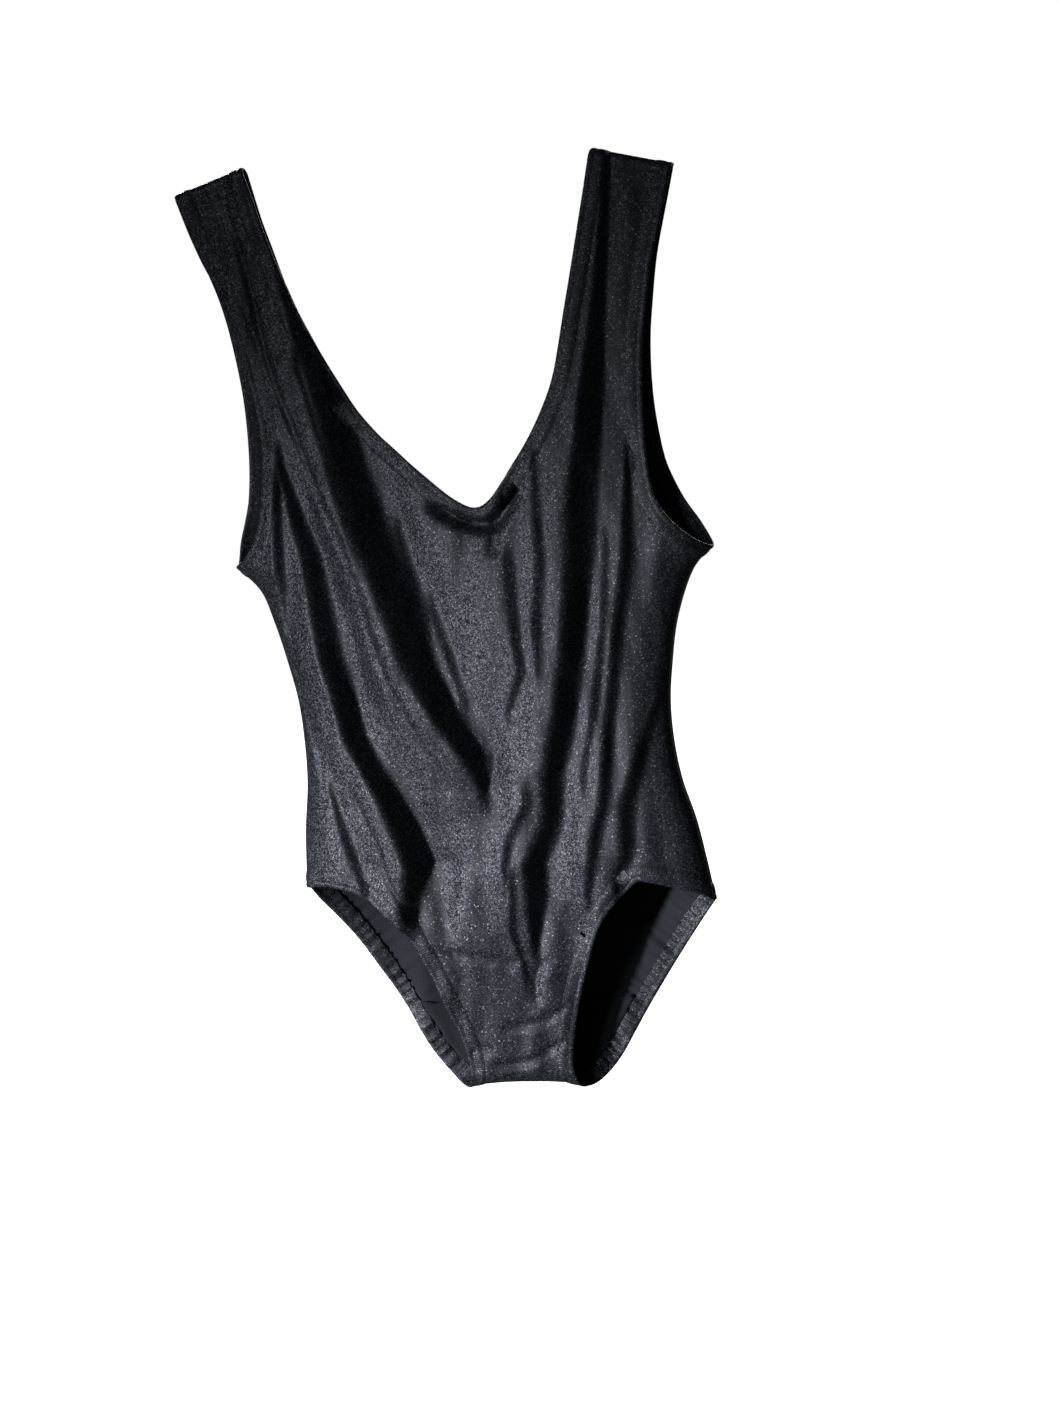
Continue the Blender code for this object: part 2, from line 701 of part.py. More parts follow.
def make_label(material, thread):
    """The care label, which turns about its sewn top edge, and the stitches that hold it."""
    hang_below = LABEL_SIZE[2] / 2
    centre = (LABEL_AXIS[0], LABEL_AXIS[1], LABEL_AXIS[2] - hang_below)
    box_at("care_label", LABEL_SIZE, centre, LABEL_AXIS, material)
    stitch_centre = (LABEL_AXIS[0], LABEL_AXIS[1], LABEL_AXIS[2] + GAP + LABEL_STITCH[2] / 2)
    box_at("label_stitch", LABEL_STITCH, stitch_centre, stitch_centre, thread)


def build():
    clear_scene()
    materials = {
        "cloth": make_material("black_stretch_satin", BLACK_CLOTH, 0.38),
        "elastic": make_material("black_elastic", BLACK_ELASTIC, 0.7),
        "thread": make_material("black_thread", BLACK_THREAD, 0.55),
        "lining": make_material("lining_cloth", LINING_CLOTH, 0.85),
        "label": make_material("label_satin", LABEL_WHITE, 0.5),
    }
    make_panel("front_panel", "front", materials["cloth"])
    make_panel("back_panel", "back", materials["cloth"])
    make_hem("neckline", "neck", 0, materials)
    for side, word in ((-1, "left"), (1, "right")):
        make_hem(word + "_armhole", "arm", side, materials)
        make_hem(word + "_leg", "leg", side, materials)
        make_side_seam(word + "_side_seam", side, materials["thread"])
        make_shoulder_seam(word + "_shoulder_seam", side, materials["thread"])
    make_crotch_seam("crotch_seam", materials["thread"])
    make_lining("gusset_lining", materials["lining"])
    make_lining_stitch("gusset_front_stitch", "front", LINING_TOP_FRONT, materials["thread"])
    make_lining_stitch("gusset_back_stitch", "back", LINING_TOP_BACK, materials["thread"])
    make_label(materials["label"], materials["thread"])


build()
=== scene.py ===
import math

import bmesh
import bpy
import numpy as np
from mathutils import Matrix, Vector


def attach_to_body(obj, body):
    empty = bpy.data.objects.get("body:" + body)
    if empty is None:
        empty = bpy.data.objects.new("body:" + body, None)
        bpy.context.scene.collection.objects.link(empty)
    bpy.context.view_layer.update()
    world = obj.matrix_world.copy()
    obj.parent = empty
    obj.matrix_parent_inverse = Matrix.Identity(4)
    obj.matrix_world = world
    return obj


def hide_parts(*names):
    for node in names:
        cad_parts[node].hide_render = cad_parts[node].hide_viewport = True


mm = 0.001
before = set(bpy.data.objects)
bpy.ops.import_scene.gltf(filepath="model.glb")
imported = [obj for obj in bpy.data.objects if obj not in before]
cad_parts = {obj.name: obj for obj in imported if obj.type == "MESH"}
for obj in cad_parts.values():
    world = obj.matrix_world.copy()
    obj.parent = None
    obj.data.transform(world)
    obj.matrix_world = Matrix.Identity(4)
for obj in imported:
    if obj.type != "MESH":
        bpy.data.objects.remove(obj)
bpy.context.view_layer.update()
print("frame loaded")

# The leotard is drawn flat as points (x, h) in millimetres, left is -x, and then hung up:
# h is the height, except at the shoulder folds and the crotch, where the cloth rolls over.
hangRule = {
    "shoulderRadius": 5 * mm,
    "crotchRadius": 13 * mm,
    "crotchLevel": -573 * mm,
    "crotchDroop": 5 * mm,
    "crotchHalfWidth": 43 * mm,
    "shoulders": ((10, 112, 0.265), (-1, 100, 0.29)),  # height at the inner edge, its distance, slope
    "shoulderReach": 200 * mm,
    "crotchReach": 105 * mm,
    "squareness": 4.0,  # 2 is an oval section, more is flatter in the middle
    "levels": (10, -60, -120, -200, -300, -400, -470, -540, -560, -600),
    "front": (5, 9, 14.5, 23, 24.5, 23, 18, 13, 12, 12),
    "back": (5, 9, 14, 21.5, 23, 25, 23, 16, 12, 12),
}

outline = {
    ("neck", "front", 0): (
        (-112, 13), (-96, -45), (-79, -94), (-67, -119), (-53, -144), (-27, -170), (1, -195), (13, -201),
        (22, -197), (40, -175), (55, -153), (66, -130), (78, -85), (92, -30), (100, 2),
    ),
    ("neck", "back", 0): (
        (-112, 13), (-101, -45), (-89, -94), (-80, -119), (-69, -144), (-53, -172), (-30, -199),
        (2, -213), (34, -202), (58, -172), (73, -144), (81, -119), (87, -85), (96, -30), (100, 2),
    ),
    ("arm", "front", -1): (
        (-148, -229), (-137, -222), (-127, -209), (-121, -193), (-117, -165), (-118, -139),
        (-120.5, -115), (-125.5, -90), (-133, -66), (-144, -41), (-157, 0.9),
    ),
    ("arm", "back", -1): (
        (-148, -229), (-146.5, -216), (-143, -203), (-139.5, -190), (-136, -165), (-134, -127),
        (-136.5, -91), (-140.5, -66), (-147, -41), (-157, 0.9),
    ),
    ("arm", "front", 1): (
        (151, -237), (141, -230), (130, -219), (121.5, -206), (118.5, -194), (117.5, -165), (118.5, -137),
        (121, -112), (125, -90), (130, -67), (137, -45), (147, -11.7),
    ),
    ("arm", "back", 1): (
        (151, -237), (142.5, -223), (134, -210), (128.5, -198), (124.5, -186), (121.5, -161), (121, -138),
        (122.5, -114), (126, -91), (130.5, -68), (137, -45), (147, -11.7),
    ),
    ("leg", "front", -1): (
        (-129, -438), (-109, -435), (-90, -439.5), (-82, -445), (-66, -462), (-53, -487), (-43, -516),
        (-36, -537), (-32.5, -560), (-34.5, -573), (-38.5, -584),
    ),
    ("leg", "back", -1): (
        (-129, -438), (-124, -449), (-106, -476), (-92, -500), (-77, -527), (-61, -556), (-48.5, -573),
        (-38.5, -584),
    ),
    ("leg", "front", 1): (
        (133.5, -457), (125, -450.5), (111, -445), (97, -440.5), (88.5, -439), (81, -445), (70, -456),
        (62, -467), (56, -481), (49.5, -499), (44, -516), (38, -541), (35.5, -560), (37.5, -573),
        (41.5, -585),
    ),
    ("leg", "back", 1): (
        (133.5, -457), (118.5, -478), (99.5, -505), (86, -525), (72.5, -546), (63, -561), (52, -574),
        (41.5, -585),
    ),
}
sideSeams = {
    -1: (
        (-129, -438), (-125, -401), (-119.5, -368), (-118, -342), (-118.5, -316), (-122.5, -290),
        (-128, -264), (-134, -245), (-148, -229),
    ),
    1: (
        (133.5, -457), (130, -431), (126, -406), (119.5, -380), (116.5, -355), (116.5, -330), (120, -305),
        (125, -281), (134, -257), (140, -247), (151, -237),
    ),
}


def ease(share):
    share = np.clip(share, 0.0, 1.0)
    return share * share * (3 - 2 * share)


def unit(vectors):
    return vectors / np.maximum(np.linalg.norm(vectors, axis=-1, keepdims=True), 1e-12)


def hermite(times, values, wanted):
    slopes = np.gradient(values, times, axis=0)
    index = np.clip(np.searchsorted(times, wanted, side="right") - 1, 0, len(times) - 2)
    step = (times[index + 1] - times[index])[:, None]
    part = (wanted - times[index])[:, None] / step
    start = 2 * part**3 - 3 * part**2 + 1
    bend = (part**3 - 2 * part**2 + part) * step * slopes[index]
    endBend = (part**3 - part**2) * step * slopes[index + 1]
    return start * values[index] + (1 - start) * values[index + 1] + bend + endBend


def runLengths(line):
    return np.concatenate([[0.0], np.cumsum(np.linalg.norm(np.diff(line, axis=0), axis=1))])


def shareAlong(path):
    lengths = runLengths(path)
    return lengths / lengths[-1]


def readAt(lengths, values, wanted):
    return np.stack([np.interp(wanted, lengths, column) for column in values.T], axis=-1)


def readPath(path, shares):
    return readAt(shareAlong(path), path, shares)


def smoothCurve(points, count):
    knots = np.array(points, float) * mm
    times = np.concatenate([[0.0], np.cumsum(np.sqrt(np.linalg.norm(np.diff(knots, axis=0), axis=1)))])
    fine = hermite(times, knots, np.linspace(0.0, times[-1], 40 * len(knots)))
    return readPath(fine, np.linspace(0, 1, count))


sideCurve = {side: smoothCurve(points, 240) for side, points in sideSeams.items()}
depthLevels = np.linspace(hangRule["levels"][-1], hangRule["levels"][0], 240) * mm
depthTable = {}
for layerName in ("front", "back"):
    depthColumn = np.array(hangRule[layerName])[:, None] * mm
    depthTable[layerName] = hermite(-np.array(hangRule["levels"]) * mm, depthColumn, -depthLevels)[:, 0]


def shoulderLevel(x):
    left, right = hangRule["shoulders"]
    leftLevel = left[0] * mm - left[2] * (np.abs(x) - left[1] * mm)
    rightLevel = right[0] * mm - right[2] * (np.abs(x) - right[1] * mm)
    return np.where(x < 0, leftLevel, rightLevel)


def crotchLevel(x):
    share = np.minimum(np.abs(x) / hangRule["crotchHalfWidth"], 1.1)
    return hangRule["crotchLevel"] - hangRule["crotchDroop"] * share**3


def topHeight(x):
    return shoulderLevel(x) + hangRule["shoulderRadius"] * (math.pi / 2 - 1)


def bottomHeight(x):
    return crotchLevel(x) - hangRule["crotchRadius"] * (math.pi / 2 - 1)


def halfWidth(x, h):
    result = np.zeros(np.broadcast(x, h).shape)
    for side in (-1, 1):
        curve = sideCurve[side]
        low, high = curve[0], curve[-1]
        width = np.interp(h, curve[:, 1], np.abs(curve[:, 0]))
        above = np.clip((h - high[1]) / abs(high[1]), 0, 1)
        below = np.clip((low[1] - h) / (low[1] - hangRule["crotchLevel"]), 0, 1)
        width = width + (hangRule["shoulderReach"] - abs(high[0])) * above
        width = width + (hangRule["crotchReach"] - abs(low[0])) * below
        result = np.where((x < 0) == (side < 0), width, result)
    return result


# The folds of the cloth. A band is a slope that falls to the right: its steepness, then points
# (x, h, half width) down the cloth. A crease is a narrow valley: width, depth, then points (x, h).
frontFolds = {
    "bands": (
        (1.3, (-108, -186, 2.0), (-112, -220, 3.0), (-116, -266, 1.8)),
        (
            1.35, (-105, -166, 1.8), (-99, -196, 3.6), (-92, -223, 5.6), (-89, -285, 6.2), (-79, -338, 6),
            (-60, -380, 5.8), (-54, -397, 6.8), (-48, -422, 7), (-59, -454, 4.6),
        ),
        (
            1.22, (-98, -29, 2.6), (-91, -66, 3.2), (-81, -103, 4.8), (-67, -150, 7.6), (-55, -206, 9.8),
            (-41, -253, 9.4), (-31, -298, 8.2), (-17, -330, 7.4), (-5, -352, 5.6), (0, -374, 2),
        ),
        (1.0, (31, -240, 1.6), (31, -282, 2.2), (32, -302, 2.4), (20, -327, 1.6)),
        (1.15, (52, -180, 1.8), (51, -233, 3.4), (44, -274, 3.4), (43, -295, 1.8)),
        (
            1.2, (110, -2, 1.8), (102, -57, 2.8), (96, -94, 3.8), (87, -148, 6.4), (79, -200, 8),
            (75, -232, 7.4), (66, -276, 7), (57, -324, 6.8), (44, -370, 6), (40, -397, 6),
            (26, -424, 6.6), (25, -447, 6), (20, -476, 2.4),
        ),
        (
            1.2, (106, -186, 1.8), (101, -237, 3.2), (90, -287, 3.2), (81, -337, 3), (73, -388, 3),
            (66, -408, 3), (57, -446, 2),
        ),
        (1.1, (113, -323, 2), (102, -349, 3.8), (87, -389, 4.4), (84, -419, 4.2), (75, -440, 2.2)),
        (1.15, (-99, -372, 1.6), (-93, -403, 2.8), (-85, -434, 2)),
        (1.0, (-38, -214, 1.4), (-33, -240, 2.2), (-27, -268, 1.4)),
        (1.0, (-22, -262, 1.4), (-14, -292, 2.4), (-8, -318, 1.4)),
        (0.9, (-88, -110, 1.2), (-76, -156, 1.6), (-66, -204, 1.6), (-60, -240, 1.2)),
        (0.9, (89, -232, 1.4), (83, -276, 2), (74, -324, 2), (62, -370, 1.4)),
        (1.0, (28, -382, 1.4), (14, -404, 2.4), (8, -424, 1.4)),
        (0.9, (12, -440, 1.4), (8, -466, 2.4), (12, -492, 1.4)),
        (1.2, (-116, -300, 1.4), (-112, -326, 1.8), (-106, -352, 1.4)),
    ),
    "creases": (
        (
            2.2, 2.1, (-125, -8), (-116, -45), (-111, -82), (-106, -110), (-94, -147), (-79, -194),
            (-66, -232), (-58, -284), (-42, -330), (-21, -374),
        ),
        (1.9, 2.0, (-86, -370), (-74, -402), (-68, -429), (-57, -452)),
        (1.9, 1.6, (36, -365), (44, -366.5), (52, -363)),
        (2.4, 1.7, (8, -352), (5, -366), (-1, -380)),
        (2.0, 1.4, (42, -452), (53, -475)),
        (1.6, 2.4, (-40, -480), (-25, -483), (-15, -485), (1, -488), (12, -486)),
        (2.0, 2.2, (-9, -534), (4, -532), (18, -529), (26, -525), (36, -519)),
        (2.0, 2.2, (-19, -559), (-4, -558), (9, -555), (22, -548), (33, -541)),
        (1.8, 1.2, (-30, -548), (-14, -547)),
        (3.0, 1.6, (32, -487), (20, -494), (17, -505), (18, -517)),
        (3.6, 9.0, (-14, -199), (-2, -206), (10, -211), (21, -212), (30, -205), (37, -190)),
        (2.6, 3.2, (25, -208), (22, -230)),
        (2.4, 0.9, (100, -452), (93, -463), (88, -476)),
    ),
    "puckers": {"depth": 0.3 * mm, "pitch": 7.5 * mm, "reach": 9 * mm},
    "drift": (0.32 * mm, 11),
}
backFolds = {
    "bands": (
        (0.8, (-98, -40, 3), (-84, -110, 4), (-66, -190, 6), (-46, -270, 6), (-22, -340, 3)),
        (0.7, (-104, -250, 3), (-92, -310, 5), (-70, -370, 5), (-52, -430, 3)),
        (0.8, (106, -40, 3), (94, -110, 4), (78, -190, 5), (62, -270, 6), (40, -345, 5), (22, -420, 3)),
        (0.7, (112, -270, 3), (100, -330, 5), (80, -400, 5), (66, -450, 3)),
    ),
    "creases": (
        (3.0, 1.0, (-30, -500), (0, -508), (34, -500)),
        (4.0, 1.2, (-60, -470), (-20, -486), (24, -488), (62, -474)),
        (3.5, 1.2, (60, -330), (20, -352), (-26, -356)),
        (2.6, 1.3, (62, -470), (74, -478), (88, -480)),
    ),
    "puckers": {"depth": 2.2 * mm, "pitch": 6.8 * mm, "reach": 24 * mm},
    "drift": (0.3 * mm, 29),
}
foldGrid = {"x": np.arange(-176, 177) * mm, "h": np.arange(-612, 33) * mm, "fade": 22 * mm, "back": 24 * mm}
bellShare = np.linspace(-3, 3, 121)
bellFall = np.cumsum(np.exp(-np.abs(bellShare) ** 6))
bellFall = bellFall / bellFall[-1] - 0.5
bellArea = 1.855  # under the bell, in half widths
puckerEnds = {"near": 22 * mm, "far": 30 * mm, "edge": 8 * mm, "atEdge": 0.12}


def bandHeights(bands):
    x, h, fade = foldGrid["x"], foldGrid["h"], foldGrid["fade"]
    heights = np.zeros((len(h), len(x)))
    for steepness, *points in bands:
        line = np.array(points, float)[::-1] * mm
        centre = np.interp(h, line[:, 1], line[:, 0])
        half = np.interp(h, line[:, 1], line[:, 2])[:, None]
        present = ease((h - line[0, 1] + fade) / fade) * ease((line[-1, 1] + fade - h) / fade)
        away = x[None, :] - centre[:, None]
        fall = np.interp(away / half, bellShare, bellFall) * bellArea * steepness * half
        back = np.exp(-((np.maximum(np.abs(away) - half, 0) / foldGrid["back"]) ** 2))
        heights -= present[:, None] * fall * back
    return heights


def nearPath(path, points):
    best = np.full(len(points), 1e9)
    along = np.zeros(len(points))
    total = 0.0
    for start, end in zip(path[:-1], path[1:]):
        span = end - start
        length = np.linalg.norm(span)
        share = ((points - start) @ span) / length**2
        clipped = np.clip(share, 0, 1)
        distance = np.linalg.norm(points - (start + clipped[:, None] * span), axis=1)
        nearer = distance < best
        along = np.where(nearer, total + share * length, along)
        best = np.where(nearer, distance, best)
        total += length
    return best, along, total


def addCreases(heights, creases):
    x, h = foldGrid["x"], foldGrid["h"]
    for width, depth, *path in creases:
        knots = np.arange(len(path), dtype=float)
        line = hermite(knots, np.array(path, float) * mm, np.linspace(0, knots[-1], 24))
        reach = 5 * width * mm
        cols = np.where((x > line[:, 0].min() - reach) & (x < line[:, 0].max() + reach))[0]
        rows = np.where((h > line[:, 1].min() - reach) & (h < line[:, 1].max() + reach))[0]
        points = np.stack(np.meshgrid(x[cols], h[rows]), axis=-1).reshape(-1, 2)
        distance, along, total = nearPath(line, points)
        ends = ease(along / (0.18 * total) + 0.3) * ease((total - along) / (0.18 * total) + 0.3)
        valley = -depth * mm * np.exp(-((distance / (width * mm)) ** 2)) * ends
        heights[np.ix_(rows, cols)] += valley.reshape(len(rows), len(cols))


def addPuckers(heights, layer, settings):
    x, h = foldGrid["x"], foldGrid["h"]
    rows = np.where(h < -425 * mm)[0]
    points = np.stack(np.meshgrid(x, h[rows]), axis=-1).reshape(-1, 2)
    for side in (-1, 1):
        edge = smoothCurve(outline[("leg", layer, side)], 60)
        distance, along, total = nearPath(edge, points)
        phase = 2 * math.pi * along / settings["pitch"]
        wave = np.sin(phase + 1.3 * np.sin(phase * 0.31 + side)) * (0.75 + 0.25 * np.sin(phase * 0.17))
        keep = ease(along / puckerEnds["near"]) * ease((total - along) / puckerEnds["far"])
        lift = settings["depth"] * wave * np.exp(-((distance / settings["reach"]) ** 2)) * keep
        atEdge = puckerEnds["atEdge"]
        lift = lift * (atEdge + (1 - atEdge) * ease(distance / puckerEnds["edge"]))
        heights[rows] += lift.reshape(len(rows), len(x))


def addDrift(heights, settings):
    amount, seed = settings
    random = np.random.default_rng(seed)
    x, h = np.meshgrid(foldGrid["x"], foldGrid["h"])
    for _ in range(14):
        length = random.uniform(14, 46) * mm
        tilt = random.uniform(-0.35, 0.35)
        wave = 2 * math.pi / length * (x * math.cos(tilt) + h * math.sin(tilt)) + random.uniform(0, 6.3)
        patch = np.sin(h / (random.uniform(40, 110) * mm) + random.uniform(0, 6.3))
        heights += amount * length / (30 * mm) * np.sin(wave) * patch


foldHeights = {}
for layerName, folds in (("front", frontFolds), ("back", backFolds)):
    heightTable = bandHeights(folds["bands"])
    addDrift(heightTable, folds["drift"])
    addCreases(heightTable, folds["creases"])
    addPuckers(heightTable, layerName, folds["puckers"])
    foldHeights[layerName] = heightTable
    print(layerName, "folds, mm", round(heightTable.min() / mm, 1), "to", round(heightTable.max() / mm, 1))


def foldAt(layer, x, h):
    table = foldHeights[layer]
    col = np.clip((x - foldGrid["x"][0]) / mm, 0, table.shape[1] - 1.001)
    row = np.clip((h - foldGrid["h"][0]) / mm, 0, table.shape[0] - 1.001)
    c, r = col.astype(int), row.astype(int)
    u, v = col - c, row - r
    low = table[r, c] * (1 - u) + table[r, c + 1] * u
    high = table[r + 1, c] * (1 - u) + table[r + 1, c + 1] * u
    return low * (1 - v) + high * v


def hung(layer, points):
    x, h = points[..., 0], points[..., 1]
    across = np.clip(np.abs(x) / halfWidth(x, h), 0, 1)
    bulge = np.sqrt(1 - across ** hangRule["squareness"])
    depth = np.interp(h, depthLevels, depthTable[layer]) * bulge + foldAt(layer, x, h) * (1 - across**8)
    depth = np.maximum(depth, 0.4 * mm * (1 - across))
    shoulder = shoulderLevel(x) - hangRule["shoulderRadius"]
    crotch = crotchLevel(x) + hangRule["crotchRadius"]
    up = np.clip((h - shoulder) / hangRule["shoulderRadius"], 0, math.pi / 2)
    down = np.clip((crotch - h) / hangRule["crotchRadius"], 0, math.pi / 2)
    y = (-1 if layer == "front" else 1) * depth * np.cos(up) * np.cos(down)
    z = np.clip(h, crotch, shoulder)
    z = z + hangRule["shoulderRadius"] * np.sin(up) - hangRule["crotchRadius"] * np.sin(down)
    return np.stack([x, y, z], axis=-1)


def outwardAt(layer, points):
    step = 0.8 * mm
    across = hung(layer, points + np.array([step, 0])) - hung(layer, points - np.array([step, 0]))
    upward = hung(layer, points + np.array([0, step])) - hung(layer, points - np.array([0, step]))
    normal = np.cross(across, upward)
    return unit(normal if layer == "front" else -normal)


# Hems: a turned edge 10 mm wide with elastic inside and twin needle stitching.
hemCut = {
    "turn": 26 * mm,  # how far from a seam the hem begins to turn along it
    "foldReach": 45 * mm,
    "foldCore": 15 * mm,
    "width": 10 * mm,
    "insets": (0.0, 1.0, 2.0, 3.5, 5.0, 6.5, 8.0, 9.5, 11.0),
    "skin": (
        (10.9, -0.12), (10.4, 0.1), (9.9, 0.12), (9.2, 0.42), (8.2, 0.58), (6.6, 0.62), (5.0, 0.58),
        (4.1, 0.42), (3.5, 0.3), (2.9, 0.44), (1.9, 0.55), (0.9, 0.42), (0.25, 0.1), (0.0, -0.5),
        (0.25, -1.15), (0.9, -1.5),
        (2.6, -1.62), (3.6, -1.5), (5.0, -1.62), (8.6, -1.62), (9.7, -1.45), (10.6, -1.5), (10.6, -1.15),
        (9.4, -1.1), (1.6, -1.1), (0.9, -0.8), (0.8, -0.4), (1.2, -0.12),
    ),
    "elastic": ((1.9, -0.72), (8.3, -0.72), (8.3, -0.98), (1.9, -0.98)),
}


def inwardAlong(edge, inside, first, last):
    tangents = np.gradient(edge, axis=0)
    squares = np.stack([-tangents[:, 1], tangents[:, 0]], axis=1)
    middle = len(edge) // 2
    if np.dot(squares[middle], np.array(inside, float) * mm - edge[middle]) < 0:
        squares = -squares
    length = np.linalg.norm(np.diff(edge, axis=0), axis=1).sum()
    run = shareAlong(edge) * length
    nearFirst = ease(1 - run / hemCut["turn"])[:, None]
    nearLast = ease(1 - (length - run) / hemCut["turn"])[:, None]
    direction = unit(squares) * (1 - nearFirst - nearLast)
    return unit(direction + nearFirst * unit(np.array(first, float)) + nearLast * unit(np.array(last, float)))


def alongSide(side, fromTop, length):
    curve = sideCurve[side]
    end = curve[-1] if fromTop else curve[0]
    return curve[int(np.argmin(np.abs(np.linalg.norm(curve - end, axis=1) - length)))] - end


hemLines = {}
for hemKey, edgePoints in outline.items():
    hemKind, _, hemSide = hemKey
    edgeLine = smoothCurve(edgePoints, 500)
    if hemKind == "neck":
        hemLines[hemKey] = (edgeLine, inwardAlong(edgeLine, (0, -400), (-1, 0), (1, 0)))
    else:
        lookAt = (0, -165) if hemKind == "arm" else (0, -400)
        seamward = alongSide(hemSide, hemKind == "arm", hemCut["width"])
        hemLines[hemKey] = (edgeLine, inwardAlong(edgeLine, lookAt, seamward, (-hemSide, 0)))


def nearFold(distance):
    return ease((hemCut["foldReach"] - distance) / (hemCut["foldReach"] - hemCut["foldCore"]))


def insetFrom(key, shares, inset):
    edge, directions = hemLines[key]
    point = readPath(edge, shares)
    inner = point + unit(readAt(shareAlong(edge), directions, shares)) * inset
    bottom, top = bottomHeight(point[:, 0]), topHeight(point[:, 0])
    innerBottom, innerTop = bottomHeight(inner[:, 0]), topHeight(inner[:, 0])
    low = (innerBottom - bottom) * nearFold(point[:, 1] - bottom)
    high = (innerTop - top) * nearFold(top - point[:, 1])
    inner[:, 1] = np.clip(inner[:, 1] + low + high, innerBottom, innerTop)
    return inner


crowding = 0.45  # how much the rows and columns draw together at an edge


def spreadShares(count):
    even = np.linspace(0, 1, count)
    return (1 - crowding) * even + crowding * (1 - np.cos(even * math.pi)) / 2


# The two panels: grids mapped onto the hung shape, one half at a time.
panelCut = {
    "columns": 62,
    "legRows": 84,
    "sideRows": 84,
    "armRows": 122,
    "armRowsBelowNeck": 22,
    "underHem": 3.2 * mm,
    "hipLevel": -405 * mm,
    "underarmLevel": -245 * mm,
    "thickness": 0.6 * mm,
}


def legBorder(layer, side):
    leg = insetFrom(("leg", layer, side), spreadShares(panelCut["legRows"]), panelCut["underHem"])[::-1]
    steps = np.diff(leg, axis=0)
    rises = np.cumsum(np.maximum(steps[:, 1], 0.3 * np.linalg.norm(steps, axis=1)))
    return leg, np.concatenate([[0], rises / rises[-1]])


def panelBorder(layer, side):
    cut = panelCut
    leg, rises = legBorder(layer, side)
    rises = (rises + legBorder(layer, -side)[1]) / 2
    arm = insetFrom(("arm", layer, side), spreadShares(cut["armRows"]), cut["underHem"])
    neckEdge = hemLines[("neck", layer, 0)][0]
    lowest = shareAlong(neckEdge)[int(np.argmin(neckEdge[:, 1]))]
    away = np.sin(np.linspace(0, math.pi / 2, cut["armRows"] - cut["armRowsBelowNeck"])) ** 0.9
    neckShares = lowest * (1 - away) if side < 0 else lowest + (1 - lowest) * away
    neck = insetFrom(("neck", layer, 0), neckShares, cut["underHem"])
    crotchMiddle = np.array([0.0, bottomHeight(0.0)])
    hipMiddle = np.array([0.0, cut["hipLevel"]])
    underarmMiddle = np.array([0.0, cut["underarmLevel"]])
    legMiddle = crotchMiddle + (hipMiddle - crotchMiddle) * rises[:, None]
    curve = sideCurve[side]
    low = int(np.argmin(np.linalg.norm(curve - leg[-1], axis=1)))
    high = int(np.argmin(np.linalg.norm(curve - arm[0], axis=1)))
    seam = np.concatenate([[leg[-1]], curve[low + 1 : high], [arm[0]]])
    shares = np.linspace(0, 1, cut["sideRows"] + 1)[1:-1]
    seamOuter = readPath(seam, shares)
    seamMiddle = hipMiddle + (underarmMiddle - hipMiddle) * shares[:, None]
    shares = np.linspace(0, 1, cut["armRowsBelowNeck"] + 1)[:-1, None]
    belowMiddle = underarmMiddle + (neck[0] - underarmMiddle) * shares
    inner = np.concatenate([legMiddle, seamMiddle, belowMiddle, neck])
    outer = np.concatenate([leg, seamOuter, arm])
    bows = np.where(np.arange(len(inner)) < cut["legRows"] + cut["sideRows"] - 1, 3.0, 1.0)
    return inner, outer, bows


def gridCells(mesh, columns, rows):
    made = bmesh.ops.create_grid(mesh, x_segments=columns, y_segments=rows, size=1.0)["verts"]
    return {v: (round((v.co.x + 1) / 2 * columns), round((v.co.y + 1) / 2 * rows)) for v in made}


def addWall(piece, thickness, offset):
    wall = piece.modifiers.new("thickness", "SOLIDIFY")
    wall.thickness = thickness
    wall.offset = offset
    return wall


def attach(piece, node, body="garment"):
    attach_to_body(piece, body)
    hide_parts(node)


def linkPiece(name, data, materials, smooth=True):
    for material in materials:
        data.materials.append(material)
    data.polygons.foreach_set("use_smooth", [smooth] * len(data.polygons))
    piece = bpy.data.objects.new(name, data)
    bpy.context.scene.collection.objects.link(piece)
    return piece


def newPiece(name, mesh, materials, smooth=True):
    data = bpy.data.meshes.new(name)
    mesh.to_mesh(data)
    mesh.free()
    return linkPiece(name, data, materials, smooth)


def makePanel(name, layer, materials):
    mesh = bmesh.new()
    uv = mesh.loops.layers.uv.new("cloth")
    columns = panelCut["columns"]
    flatOf = {}
    for side in (-1, 1):
        inner, outer, bows = panelBorder(layer, side)
        across = np.linspace(0, 1, columns + 1)
        across = (1 - crowding) * across + crowding * np.sin(across * math.pi / 2)
        flat = np.zeros((len(inner), columns + 1, 2))
        flat[..., 0] = inner[:, None, 0] + (outer - inner)[:, None, 0] * across
        flat[..., 1] = inner[:, None, 1] + (outer - inner)[:, None, 1] * across ** bows[:, None]
        flat[..., 1] = np.clip(flat[..., 1], bottomHeight(flat[..., 0]), topHeight(flat[..., 0]))
        places = hung(layer, flat)
        for vert, (column, row) in gridCells(mesh, columns, len(inner) - 1).items():
            vert.co = places[row, column]
            flatOf[vert] = flat[row, column]
    for face in mesh.faces:
        for loop in face.loops:
            loop[uv].uv = flatOf[loop.vert]
    bmesh.ops.remove_doubles(mesh, verts=mesh.verts, dist=0.01 * mm)
    bmesh.ops.recalc_face_normals(mesh, faces=mesh.faces)
    facing = sum(face.normal.y for face in mesh.faces)
    if (facing > 0) == (layer == "front"):
        bmesh.ops.reverse_faces(mesh, faces=mesh.faces)
    piece = newPiece(name, mesh, materials)
    wall = addWall(piece, panelCut["thickness"], -1)
    wall.material_offset = 1
    wall.material_offset_rim = 1
    return piece


